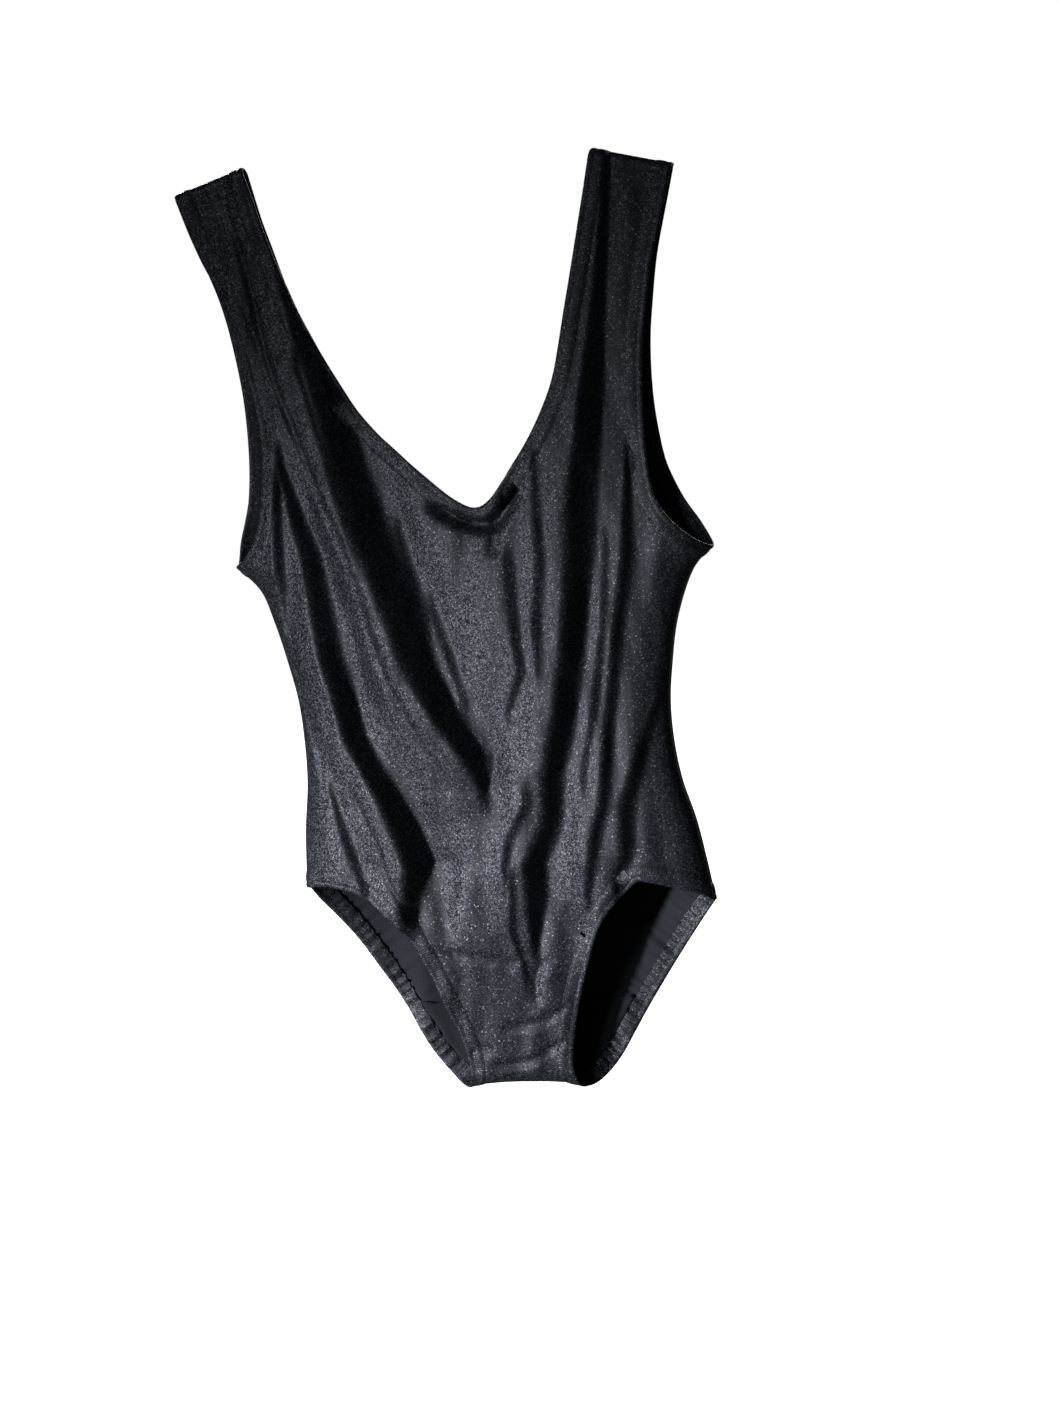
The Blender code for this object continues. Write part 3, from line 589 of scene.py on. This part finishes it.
def hemLoops(kind, side, count):
    shares = spreadShares(count)
    lines = []
    for inset in hemCut["insets"]:
        front = hung("front", insetFrom((kind, "front", side), shares, inset * mm))
        back = hung("back", insetFrom((kind, "back", side), shares, inset * mm))
        lines.append(np.concatenate([front, back[::-1][1:-1]]))
    lines = np.array(lines)
    tangents = unit(np.roll(lines, -1, axis=1) - np.roll(lines, 1, axis=1)).sum(axis=0)
    inward = np.gradient(lines, axis=0)
    normals = unit(np.cross(np.broadcast_to(tangents, lines.shape), inward))
    for _ in range(4):
        normals = unit(np.roll(normals, 1, axis=1) + 2 * normals + np.roll(normals, -1, axis=1))
    deepest = int(np.argmin(lines[0][:, 1]))
    if normals[0][deepest][1] > 0:
        normals = -normals
    return lines, normals


def hemLine(loops, inset, lift):
    lines, normals = loops
    levels = np.array(hemCut["insets"])
    place = np.clip(np.interp(inset, levels, np.arange(len(levels))), 0, len(levels) - 1.001)
    low = int(place)
    part = place - low
    line = lines[low] * (1 - part) + lines[low + 1] * part
    normal = unit(normals[low] * (1 - part) + normals[low + 1] * part)
    return line + normal * lift * mm, normal


def makeRing(name, loops, profile, materials):
    mesh = bmesh.new()
    uv = mesh.loops.layers.uv.new("cloth")
    closed = list(profile) + [profile[0]]
    places = np.array([hemLine(loops, inset, lift)[0] for inset, lift in closed])
    places = np.concatenate([places, places[:, :1]], axis=1)
    lengths = runLengths(places[0])
    cells = gridCells(mesh, loops[0].shape[1], len(profile))
    for face in mesh.faces:
        for loop in face.loops:
            station, corner = cells[loop.vert]
            loop[uv].uv = (lengths[station], closed[corner][0] * mm)
    for vert, (station, corner) in cells.items():
        vert.co = places[corner, station]
    bmesh.ops.remove_doubles(mesh, verts=mesh.verts, dist=0.002 * mm)
    bmesh.ops.recalc_face_normals(mesh, faces=mesh.faces)
    return newPiece(name, mesh, materials)


stitchCut = {
    "rows": ((3.5, 0.36), (9.9, 0.24)),
    "length": 2.5 * mm,
    "pitch": 3.1 * mm,
    "radius": 0.2 * mm,
    "loopRows": (3.6, 9.6, -1.68),
    "loopPitch": 3.1 * mm,
    "loopRadius": 0.16 * mm,
}


def threadShape():
    mesh = bmesh.new()
    bmesh.ops.create_uvsphere(mesh, u_segments=6, v_segments=4, radius=1.0)
    mesh.verts.index_update()
    corners = np.array([vert.co for vert in mesh.verts])
    faces = [[vert.index for vert in face.verts] for face in mesh.faces]
    mesh.free()
    return corners, faces


threadCorners, threadFaces = threadShape()


def sewThreads(name, threads, material):
    places = []
    for starts, ends, outward, radius in threads:
        along = ends - starts
        length = np.linalg.norm(along, axis=1)
        xAxis = along / length[:, None]
        zAxis = unit(outward - xAxis * (outward * xAxis).sum(axis=1)[:, None])
        yAxis = np.cross(zAxis, xAxis)
        size = np.stack([length / 2, np.full(len(length), radius), np.full(len(length), radius)], axis=-1)
        axes = np.stack([xAxis, yAxis, zAxis], axis=1) * size[:, :, None]
        places.append(threadCorners @ axes + ((starts + ends) / 2)[:, None, :])
    places = np.concatenate(places)
    starts = range(0, len(threadCorners) * len(places), len(threadCorners))
    faces = [[start + corner for corner in face] for start in starts for face in threadFaces]
    data = bpy.data.meshes.new(name)
    data.from_pydata(places.reshape(-1, 3), [], faces)
    return linkPiece(name, data, [material])


def spacedAlong(line, normals, pitch, closed=True):
    if closed:
        line = np.concatenate([line, line[:1]])
        normals = np.concatenate([normals, normals[:1]])
    lengths = runLengths(line)
    marks = np.linspace(0, lengths[-1], max(int(round(lengths[-1] / pitch)), 1) + 1)
    return marks, lambda at: (readAt(lengths, line, at), unit(readAt(lengths, normals, at)))


def makeHemStitch(name, loops, material):
    threads = []
    for inset, lift in stitchCut["rows"]:
        marks, read = spacedAlong(*hemLine(loops, inset, lift), stitchCut["pitch"])
        starts, normals = read(marks[:-1])
        ends, _ = read(marks[:-1] + stitchCut["length"])
        threads.append((starts, ends, normals, stitchCut["radius"]))
    low, high, lift = stitchCut["loopRows"]
    lowLine, lowNormals = hemLine(loops, low, lift)
    highLine, _ = hemLine(loops, high, lift)
    marks, readLow = spacedAlong(lowLine, lowNormals, stitchCut["loopPitch"])
    lengths = runLengths(np.concatenate([lowLine, lowLine[:1]]))
    starts, normals = readLow(marks[:-1])
    middle = marks[:-1] + stitchCut["loopPitch"] / 2
    tips = readAt(lengths, np.concatenate([highLine, highLine[:1]]), middle)
    ends, _ = readLow(marks[1:])
    for start, end in ((starts, tips), (tips, ends)):
        threads.append((start, end, normals, stitchCut["loopRadius"]))
    return sewThreads(name, threads, material)


# Seam allowances: a narrow strip of cloth with overlocked edges.
seamCut = {
    "depth": 4 * mm,
    "crotchDepth": 1.6 * mm,
    "thickness": 0.9 * mm,
    "clearance": 0.9 * mm,
    "ripples": ((0.3, 5.3), (0.2, 2.1)),  # height and run of each wave along the strip
    "pitch": 2.6 * mm,
    "thread": 0.22 * mm,
    "lowGap": 13 * mm,
    "highGap": 9 * mm,
    "endGap": 1.5 * mm,  # between a hem and a seam's end
}


def addSeam(name, node, points, inward, depth=seamCut["depth"]):
    lengths = runLengths(points)
    inward = np.array(inward, float)
    across = np.array([0.0, 1.0, 0.0])
    half = seamCut["thickness"] / 2
    side = [(0, half), (0.5, half * 1.25), (1, half * 0.8)]
    closed = [(share, -lift) for share, lift in side] + [(1.06, 0)] + side[::-1] + [(0, -half)]
    ripple = sum(height * mm * np.sin(lengths / (run * mm)) for height, run in seamCut["ripples"])

    def read(at, share, lift):
        wave = np.interp(at, lengths, ripple)[:, None]
        base = readAt(lengths, points, at) + inward * (seamCut["clearance"] + depth * share)
        return base + across * (lift + wave * share)

    places = [read(lengths, share, lift) for share, lift in closed]
    mesh = bmesh.new()
    for vert, (station, corner) in gridCells(mesh, len(points) - 1, len(closed) - 1).items():
        vert.co = places[corner][station]
    bmesh.ops.remove_doubles(mesh, verts=mesh.verts, dist=0.002 * mm)
    bmesh.ops.holes_fill(mesh, edges=[edge for edge in mesh.edges if edge.is_boundary], sides=0)
    bmesh.ops.recalc_face_normals(mesh, faces=mesh.faces)
    strip = newPiece(name, mesh, [looks["inside"]])
    marks = np.arange(0, lengths[-1] - seamCut["pitch"], seamCut["pitch"])
    threads = []
    for face in (-1, 1):
        lift = face * (half * 1.2 + seamCut["thread"] * 0.5)
        low = read(marks, 0.12, lift)
        tip = read(marks + seamCut["pitch"] * 0.5, 1.02, lift * 0.8)
        after = read(marks + seamCut["pitch"], 0.12, lift)
        normals = np.broadcast_to(across * face, low.shape)
        for start, end in ((low, tip), (tip, after), (low, after)):
            threads.append((start, end, normals, seamCut["thread"]))
    overlock = sewThreads(name + "Overlock", threads, looks["thread"])
    for piece in (strip, overlock):
        attach(piece, node)


def nodeGroup(name, inputs, outputs):
    group = bpy.data.node_groups.new(name, "ShaderNodeTree")
    for label, kind, value in inputs:
        socket = group.interface.new_socket(label, in_out="INPUT", socket_type=kind)
        if value is not None:
            socket.default_value = value
    for label, kind in outputs:
        group.interface.new_socket(label, in_out="OUTPUT", socket_type=kind)
    return group, group.nodes.new("NodeGroupInput"), group.nodes.new("NodeGroupOutput")


def mathNode(tree, operation, first, second=None, third=None):
    node = tree.nodes.new("ShaderNodeMath")
    node.operation = operation
    for index, value in enumerate((first, second, third)):
        if value is None:
            continue
        if isinstance(value, (int, float)):
            node.inputs[index].default_value = value
        else:
            tree.links.new(value, node.inputs[index])
    return node.outputs[0]


def vectorNode(tree, operation, first, second=None):
    node = tree.nodes.new("ShaderNodeVectorMath")
    node.operation = operation
    tree.links.new(first, node.inputs[0])
    if isinstance(second, tuple):
        node.inputs[1].default_value = second
    elif second is not None:
        tree.links.new(second, node.inputs["Scale" if operation == "SCALE" else 1])
    return node.outputs[0]


number = "NodeSocketFloat"


def glitterGroup():
    group, given, result = nodeGroup(
        "glitter",
        [("Vector", "NodeSocketVector", None), ("Flakes", number, 1100.0), ("Tilt", number, 0.6)],
        [("Tone", number), ("Bright", number), ("Normal", "NodeSocketVector")],
    )
    links = group.links
    cells = group.nodes.new("ShaderNodeTexVoronoi")
    cells.inputs["Randomness"].default_value = 1.0
    links.new(given.outputs["Vector"], cells.inputs["Vector"])
    links.new(given.outputs["Flakes"], cells.inputs["Scale"])
    parts = group.nodes.new("ShaderNodeSeparateColor")
    links.new(cells.outputs["Color"], parts.inputs["Color"])
    tone = mathNode(group, "POWER", parts.outputs["Red"], 2.8)
    bright = group.nodes.new("ShaderNodeMapRange")
    bright.inputs["From Min"].default_value = 0.93
    bright.inputs["From Max"].default_value = 0.97
    links.new(parts.outputs["Green"], bright.inputs["Value"])
    centred = vectorNode(group, "SUBTRACT", cells.outputs["Color"], (0.5, 0.5, 0.5))
    lean = vectorNode(group, "SCALE", centred, given.outputs["Tilt"])
    surface = group.nodes.new("ShaderNodeNewGeometry")
    tilted = vectorNode(group, "ADD", surface.outputs["Normal"], lean)
    links.new(tone, result.inputs["Tone"])
    links.new(bright.outputs["Result"], result.inputs["Bright"])
    links.new(vectorNode(group, "NORMALIZE", tilted), result.inputs["Normal"])
    return group


def knitGroup():
    group, given, result = nodeGroup(
        "knit",
        [("Vector", "NodeSocketVector", None), ("Wales", number, 1400.0), ("Courses", number, 1100.0)],
        [("Height", number), ("Patch", number)],
    )
    links = group.links
    parts = group.nodes.new("ShaderNodeSeparateXYZ")
    links.new(given.outputs["Vector"], parts.inputs[0])
    wales = mathNode(group, "SINE", mathNode(group, "MULTIPLY", parts.outputs["X"], given.outputs["Wales"]))
    lean = mathNode(group, "MULTIPLY", wales, 0.6)
    rise = mathNode(group, "MULTIPLY", parts.outputs["Z"], given.outputs["Courses"])
    courses = mathNode(group, "ADD", rise, lean)
    height = mathNode(group, "ADD", wales, mathNode(group, "SINE", courses))
    links.new(mathNode(group, "MULTIPLY_ADD", height, 0.25, 0.5), result.inputs["Height"])
    patch = group.nodes.new("ShaderNodeTexNoise")
    patch.inputs["Scale"].default_value = 22.0
    patch.inputs["Detail"].default_value = 3.0
    links.new(given.outputs["Vector"], patch.inputs["Vector"])
    links.new(patch.outputs["Fac"], result.inputs["Patch"])
    return group


def newMaterial(name):
    material = bpy.data.materials.new(name)
    material.use_nodes = True
    tree = material.node_tree
    return material, tree, tree.nodes["Principled BSDF"]


def place(tree, group):
    node = tree.nodes.new("ShaderNodeGroup")
    node.node_tree = group
    return node


def addBump(tree, shader, height, strength, distance, under=None):
    bump = tree.nodes.new("ShaderNodeBump")
    bump.inputs["Strength"].default_value = strength
    bump.inputs["Distance"].default_value = distance
    tree.links.new(height, bump.inputs["Height"])
    if under:
        tree.links.new(under, bump.inputs["Normal"])
    tree.links.new(bump.outputs["Normal"], shader.inputs["Normal"])


def mixColor(tree, factor, first, second):
    node = tree.nodes.new("ShaderNodeMix")
    node.data_type = "RGBA"
    for socket, value in ((node.inputs[6], first), (node.inputs[7], second)):
        if isinstance(value, tuple):
            socket.default_value = (*value, 1.0)
        else:
            tree.links.new(value, socket)
    tree.links.new(factor, node.inputs[0])
    return node.outputs[2]


glitter = glitterGroup()
knit = knitGroup()
satinLook = {
    "dark": (0.004, 0.006, 0.012),
    "pale": (0.112, 0.124, 0.162),
    "spark": (0.20, 0.20, 0.23),
    "flakes": 1500.0,
    "tilt": 0.34,
    "roughness": 0.52,
    "metallic": 0.5,
    "bump": 0.15 * mm,
    "wobble": 160.0,  # how finely the hems' ribs wander
}


def makeSatin(name, ribbed):
    look = satinLook
    material, tree, shader = newMaterial(name)
    links = tree.links
    where = tree.nodes.new("ShaderNodeTexCoord")
    flakes = place(tree, glitter)
    links.new(where.outputs["Object"], flakes.inputs["Vector"])
    flakes.inputs["Flakes"].default_value = look["flakes"]
    flakes.inputs["Tilt"].default_value = look["tilt"]
    weave = place(tree, knit)
    links.new(where.outputs["Object"], weave.inputs["Vector"])
    cloth = mixColor(tree, flakes.outputs["Tone"], look["dark"], look["pale"])
    cloth = mixColor(tree, flakes.outputs["Bright"], cloth, look["spark"])
    links.new(cloth, shader.inputs["Base Color"])
    rough = mathNode(tree, "MULTIPLY_ADD", weave.outputs["Patch"], 0.10, look["roughness"] - 0.05)
    links.new(rough, shader.inputs["Roughness"])
    shader.inputs["Metallic"].default_value = look["metallic"]
    height = weave.outputs["Height"]
    if ribbed:
        uv = tree.nodes.new("ShaderNodeUVMap")
        uv.uv_map = "cloth"
        parts = tree.nodes.new("ShaderNodeSeparateXYZ")
        links.new(uv.outputs[0], parts.inputs[0])
        wobble = tree.nodes.new("ShaderNodeTexNoise")
        wobble.inputs["Scale"].default_value = look["wobble"]
        links.new(where.outputs["Object"], wobble.inputs["Vector"])
        wander = mathNode(tree, "MULTIPLY", wobble.outputs["Fac"], 5.0)
        run = mathNode(tree, "MULTIPLY_ADD", parts.outputs["X"], 2 * math.pi / ribbed, wander)
        ribs = mathNode(tree, "SINE", run)
        height = mathNode(tree, "MULTIPLY_ADD", ribs, 0.6, height)
    addBump(tree, shader, height, 0.35, look["bump"], flakes.outputs["Normal"])
    return material


def makeMatte(name, dark, pale, roughness, wales, depth):
    material, tree, shader = newMaterial(name)
    links = tree.links
    where = tree.nodes.new("ShaderNodeTexCoord")
    weave = place(tree, knit)
    weave.inputs["Wales"].default_value = wales
    weave.inputs["Courses"].default_value = wales * 0.8
    links.new(where.outputs["Object"], weave.inputs["Vector"])
    links.new(mixColor(tree, weave.outputs["Patch"], dark, pale), shader.inputs["Base Color"])
    rough = mathNode(tree, "MULTIPLY_ADD", weave.outputs["Height"], 0.1, roughness - 0.05)
    links.new(rough, shader.inputs["Roughness"])
    shader.inputs["Specular IOR Level"].default_value = 0.12
    addBump(tree, shader, weave.outputs["Height"], 0.5, depth)
    return material


matteLooks = {  # name, dark, pale, roughness, wales, depth
    "inside": ("satinInside", (0.015, 0.018, 0.025), (0.034, 0.039, 0.051), 0.8, 2600.0, 0.1 * mm),
    "thread": ("blackThread", (0.030, 0.032, 0.040), (0.060, 0.062, 0.072), 0.45, 9000.0, 0.05 * mm),
    "elastic": ("blackElastic", (0.018, 0.018, 0.020), (0.030, 0.030, 0.033), 0.7, 4200.0, 0.15 * mm),
    "lining": ("liningKnit", (0.014, 0.016, 0.022), (0.030, 0.034, 0.044), 0.85, 3200.0, 0.12 * mm),
    "label": ("labelRibbon", (0.68, 0.68, 0.66), (0.78, 0.78, 0.76), 0.45, 5200.0, 0.06 * mm),
}
looks = {"satin": makeSatin("blackSatin", 0.0), "hem": makeSatin("blackSatinHem", 1.5 * mm)}
for lookName, settings in matteLooks.items():
    looks[lookName] = makeMatte(*settings)
print("materials made")

for layerName in ("front", "back"):
    panel = makePanel(layerName + "Panel", layerName, [looks["satin"], looks["inside"]])
    attach(panel, layerName + "_panel")
print("panels made")

for hemName, hemKind, hemSide, hemCount in (
    ("neckline", "neck", 0, 230),
    ("left_armhole", "arm", -1, 140),
    ("right_armhole", "arm", 1, 140),
    ("left_leg", "leg", -1, 110),
    ("right_leg", "leg", 1, 110),
):
    words = hemName.split("_")
    camel = words[0] + "".join(word.title() for word in words[1:])
    loops = hemLoops(hemKind, hemSide, hemCount)
    hem = makeRing(camel + "Hem", loops, hemCut["skin"], [looks["hem"]])
    elastic = makeRing(camel + "Elastic", loops, hemCut["elastic"], [looks["elastic"]])
    stitching = makeHemStitch(camel + "Stitching", loops, looks["thread"])
    attach(hem, hemName + "_hem")
    attach(elastic, hemName + "_elastic")
    attach(stitching, hemName + "_cover_stitch")
print("hems made")

for side, word in ((-1, "left"), (1, "right")):
    curve = sideCurve[side]
    low, high = curve[0, 1] + seamCut["lowGap"], curve[-1, 1] - seamCut["highGap"]
    inside = curve[(curve[:, 1] > low) & (curve[:, 1] < high)][::2]
    seamPoints = np.stack([inside[:, 0], np.zeros(len(inside)), inside[:, 1]], axis=-1)
    addSeam(word + "SideSeam", word + "_side_seam", seamPoints, (-side, 0, 0))
    neckX = outline[("neck", "front", 0)][0 if side < 0 else -1][0] * mm
    armX = outline[("arm", "front", side)][-1][0] * mm
    hemReach = side * (hemCut["width"] + seamCut["endGap"])
    xs = np.linspace(neckX + hemReach, armX - hemReach, 16)
    seamPoints = np.stack([xs, np.zeros(len(xs)), shoulderLevel(xs)], axis=-1)
    addSeam(word + "ShoulderSeam", word + "_shoulder_seam", seamPoints, (0, 0, -1))


def crotchEnds(layer, h, margin):
    ends = []
    for side in (-1, 1):
        edge, directions = hemLines[("leg", layer, side)]
        inner = edge + directions * (hemCut["width"] + margin)
        order = np.argsort(inner[:, 1])
        ends.append(float(np.interp(h, inner[order, 1], inner[order, 0])))
    return ends


left, right = crotchEnds("front", float(bottomHeight(0.0)), seamCut["endGap"])
xs = np.linspace(left, right, 24)
seamPoints = np.stack([xs, np.zeros(len(xs)), crotchLevel(xs)], axis=-1)
addSeam("crotchSeam", "crotch_seam", seamPoints, (0, 0, 1), depth=seamCut["crotchDepth"])

# Gusset lining, a second layer inside the crotch, sewn along its two ends.
liningCut = {
    "frontTop": -484 * mm,
    "backTop": -524 * mm,
    "lift": 1.9 * mm,
    "margin": 0.8 * mm,
    "columns": 36,
    "frontRows": 23,
    "backRows": 17,
    "thickness": 0.5 * mm,
    "stitchDrop": 2.5 * mm,
    "stitchLength": 2.3 * mm,
    "stitchPitch": 3.0 * mm,
    "stitchRadius": 0.17 * mm,
}


def liningPoints(layer, h):
    bottom = float(bottomHeight(0.0))
    ends = np.array(crotchEnds(layer, h, liningCut["margin"]))
    foldEnds = np.array(crotchEnds("front", bottom, liningCut["margin"]))
    blend = min(1.0, 3 * (h - bottom) / (liningCut[layer + "Top"] - bottom))
    xs = np.linspace(*(foldEnds + (ends - foldEnds) * blend), liningCut["columns"] + 1)
    return np.stack([xs, np.maximum(h, bottomHeight(xs))], axis=-1)


def makeLining():
    rows = []
    bottom = float(bottomHeight(0.0))
    frontSteps = np.linspace(1, 0, liningCut["frontRows"])
    backSteps = np.linspace(0, 1, liningCut["backRows"])[1:]
    for layer, steps in (("front", frontSteps), ("back", backSteps)):
        for step in steps:
            h = bottom + (liningCut[layer + "Top"] - bottom) * step
            flat = liningPoints(layer, h)
            rows.append(hung(layer, flat) - outwardAt(layer, flat) * liningCut["lift"])
    mesh = bmesh.new()
    for vert, (column, row) in gridCells(mesh, liningCut["columns"], len(rows) - 1).items():
        vert.co = rows[row][column]
    middle = [vert for vert in mesh.verts if not vert.is_boundary]
    bmesh.ops.smooth_vert(mesh, verts=middle, factor=0.5, use_axis_x=True, use_axis_y=True, use_axis_z=True)
    bmesh.ops.recalc_face_normals(mesh, faces=mesh.faces)
    piece = newPiece("gussetLining", mesh, [looks["lining"]])
    addWall(piece, liningCut["thickness"], 0)
    return piece


lining = makeLining()
attach(lining, "gusset_lining")


def makeGussetStitch(name, layer):
    h = liningCut[layer + "Top"] - liningCut["stitchDrop"]
    xs = np.linspace(*crotchEnds(layer, h, seamCut["endGap"]), 60)
    flat = np.stack([xs, np.full(len(xs), h)], axis=-1)
    surface = hung(layer, flat)
    outward = outwardAt(layer, flat)
    threads = []
    for lift in (0.08 * mm, -liningCut["lift"] - 0.35 * mm):
        marks, read = spacedAlong(surface + outward * lift, outward, liningCut["stitchPitch"], closed=False)
        starts, normals = read(marks[:-1])
        ends, _ = read(marks[:-1] + liningCut["stitchLength"])
        threads.append((starts, ends, normals, liningCut["stitchRadius"]))
    return sewThreads(name, threads, looks["thread"])


attach(makeGussetStitch("gussetFrontStitch", "front"), "gusset_front_stitch")
attach(makeGussetStitch("gussetBackStitch", "back"), "gusset_back_stitch")
print("seams and lining made")

# Care label: a blank ribbon inside the back neckline.
labelCut = {
    "width": 30 * mm,
    "drop": 38 * mm,
    "axis": (2 * mm, 19.7 * mm, -216 * mm),
    "thickness": 0.3 * mm,
    "curl": 1.3 * mm,
    "shortening": 0.999,  # what the curl takes from the drop
    "stitches": 9,
    "stitchPitch": 3.0 * mm,
    "stitchLength": 2.4 * mm,
    "stitchRise": 0.9 * mm,
    "stitchRadius": 0.18 * mm,
}


def makeLabel():
    columns, rows = 16, 22
    mesh = bmesh.new()
    made = bmesh.ops.create_grid(mesh, x_segments=columns, y_segments=rows, size=1.0)["verts"]
    for vert in made:
        across, down = vert.co.x, (1 - vert.co.y) / 2
        curl = labelCut["curl"] * (down**2 * (0.4 + 0.6 * across**2) - 0.25 * math.sin(down * math.pi))
        vert.co = Vector(labelCut["axis"]) + Vector(
            (across * labelCut["width"] / 2, -curl, -down * labelCut["shortening"] * labelCut["drop"])
        )
    bmesh.ops.recalc_face_normals(mesh, faces=mesh.faces)
    piece = newPiece("careLabel", mesh, [looks["label"]])
    addWall(piece, labelCut["thickness"], 0)
    return piece


label = makeLabel()
attach(label, "care_label", body="label")


def makeLabelStitch():
    count = labelCut["stitches"]
    row = np.tile(labelCut["axis"], (count, 1))
    row[:, 0] += (np.arange(count) - count // 2) * labelCut["stitchPitch"]
    row[:, 2] += labelCut["stitchRise"]
    half = np.array([labelCut["stitchLength"] / 2, 0, 0])
    outward = np.tile([0.0, -1.0, 0.0], (count, 1))
    threads = []
    for depth in (-0.35 * mm, 1.2 * mm):
        line = row + np.array([0, depth, 0])
        threads.append((line - half, line + half, outward, labelCut["stitchRadius"]))
    return sewThreads("labelStitch", threads, looks["thread"])


attach(makeLabelStitch(), "label_stitch")
print("label made")

# A pale floor that looks white but throws little light back on the cloth.
floorMesh = bmesh.new()
bmesh.ops.create_grid(floorMesh, x_segments=1, y_segments=1, size=6.0)
bmesh.ops.translate(floorMesh, verts=floorMesh.verts, vec=(0, 0, -0.95))
floorLook, floorTree, floorShader = newMaterial("paleFloor")
floorShader.inputs["Roughness"].default_value = 0.9
floorShader.inputs["Emission Color"].default_value = (1, 1, 1, 1)
seen = floorTree.nodes.new("ShaderNodeLightPath")
isSeen = seen.outputs["Is Camera Ray"]
floorTree.links.new(isSeen, floorShader.inputs["Emission Strength"])
floorTone = mixColor(floorTree, isSeen, (0.08, 0.08, 0.08), (0.9, 0.9, 0.9))
floorTree.links.new(floorTone, floorShader.inputs["Base Color"])
floor = newPiece("floor", floorMesh, [floorLook], smooth=False)


def addLight(name, azimuth, elevation, distance, aim, power, size, cone=None):
    a, e = math.radians(azimuth), math.radians(elevation)
    middle = Vector((0, 0, aim))
    way = Vector((math.sin(a) * math.cos(e), -math.cos(a) * math.cos(e), math.sin(e)))
    data = bpy.data.lights.new(name, "SPOT" if cone else "AREA")
    if cone:
        data.spot_size = math.radians(cone)
        data.spot_blend = 1.0
        data.shadow_soft_size = size / 2
    else:
        data.shape = "DISK"
        data.size = size
    data.energy = power
    data.color = (1.0, 0.98, 0.96)
    lamp = bpy.data.objects.new(name, data)
    lamp.location = middle + way * distance
    lamp.rotation_mode = "QUATERNION"
    lamp.rotation_quaternion = (-way).to_track_quat("-Z", "Y")
    bpy.context.scene.collection.objects.link(lamp)


addLight("keyLight", -42, 5, 2.1, -0.70, 215, size=0.18, cone=36)
addLight("frontLight", -22, 30, 4.0, -0.3, 17, size=0.5)
addLight("backLeftLight", -146, 22, 3.0, -0.3, 60, size=0.6)
addLight("backRightLight", 152, 22, 3.0, -0.3, 24, size=0.6)

world = bpy.data.worlds.new("studio")
world.use_nodes = True
bpy.context.scene.world = world
worldTree = world.node_tree
background = worldTree.nodes["Background"]
path = worldTree.nodes.new("ShaderNodeLightPath")
strength = mathNode(worldTree, "MULTIPLY_ADD", path.outputs["Is Camera Ray"], 0.98, 0.02)
worldTree.links.new(strength, background.inputs["Strength"])
background.inputs["Color"].default_value = (1, 1, 1, 1)

cameraRule = {"azimuth": 13, "elevation": 12, "roll": -6, "place": (0.3402, -1.3476, -0.0352), "lens": 58.56}
a, e, roll = (math.radians(cameraRule[key]) for key in ("azimuth", "elevation", "roll"))
back = Vector((math.sin(a) * math.cos(e), -math.cos(a) * math.cos(e), math.sin(e)))
level = Vector((math.cos(a), math.sin(a), 0))
up = back.cross(level)
rightAxis = level * math.cos(roll) + up * math.sin(roll)
upAxis = up * math.cos(roll) - level * math.sin(roll)
cameraData = bpy.data.cameras.new("camera")
cameraData.sensor_width = 36
cameraData.lens = cameraRule["lens"]
cameraData.clip_start = 0.01
camera = bpy.data.objects.new("camera", cameraData)
turn = Matrix((rightAxis, upAxis, back)).transposed().to_4x4()
camera.matrix_world = Matrix.Translation(Vector(cameraRule["place"])) @ turn
bpy.context.scene.collection.objects.link(camera)
bpy.context.scene.camera = camera
bpy.context.scene.view_settings.view_transform = "Standard"

bpy.context.view_layer.update()
print("done")
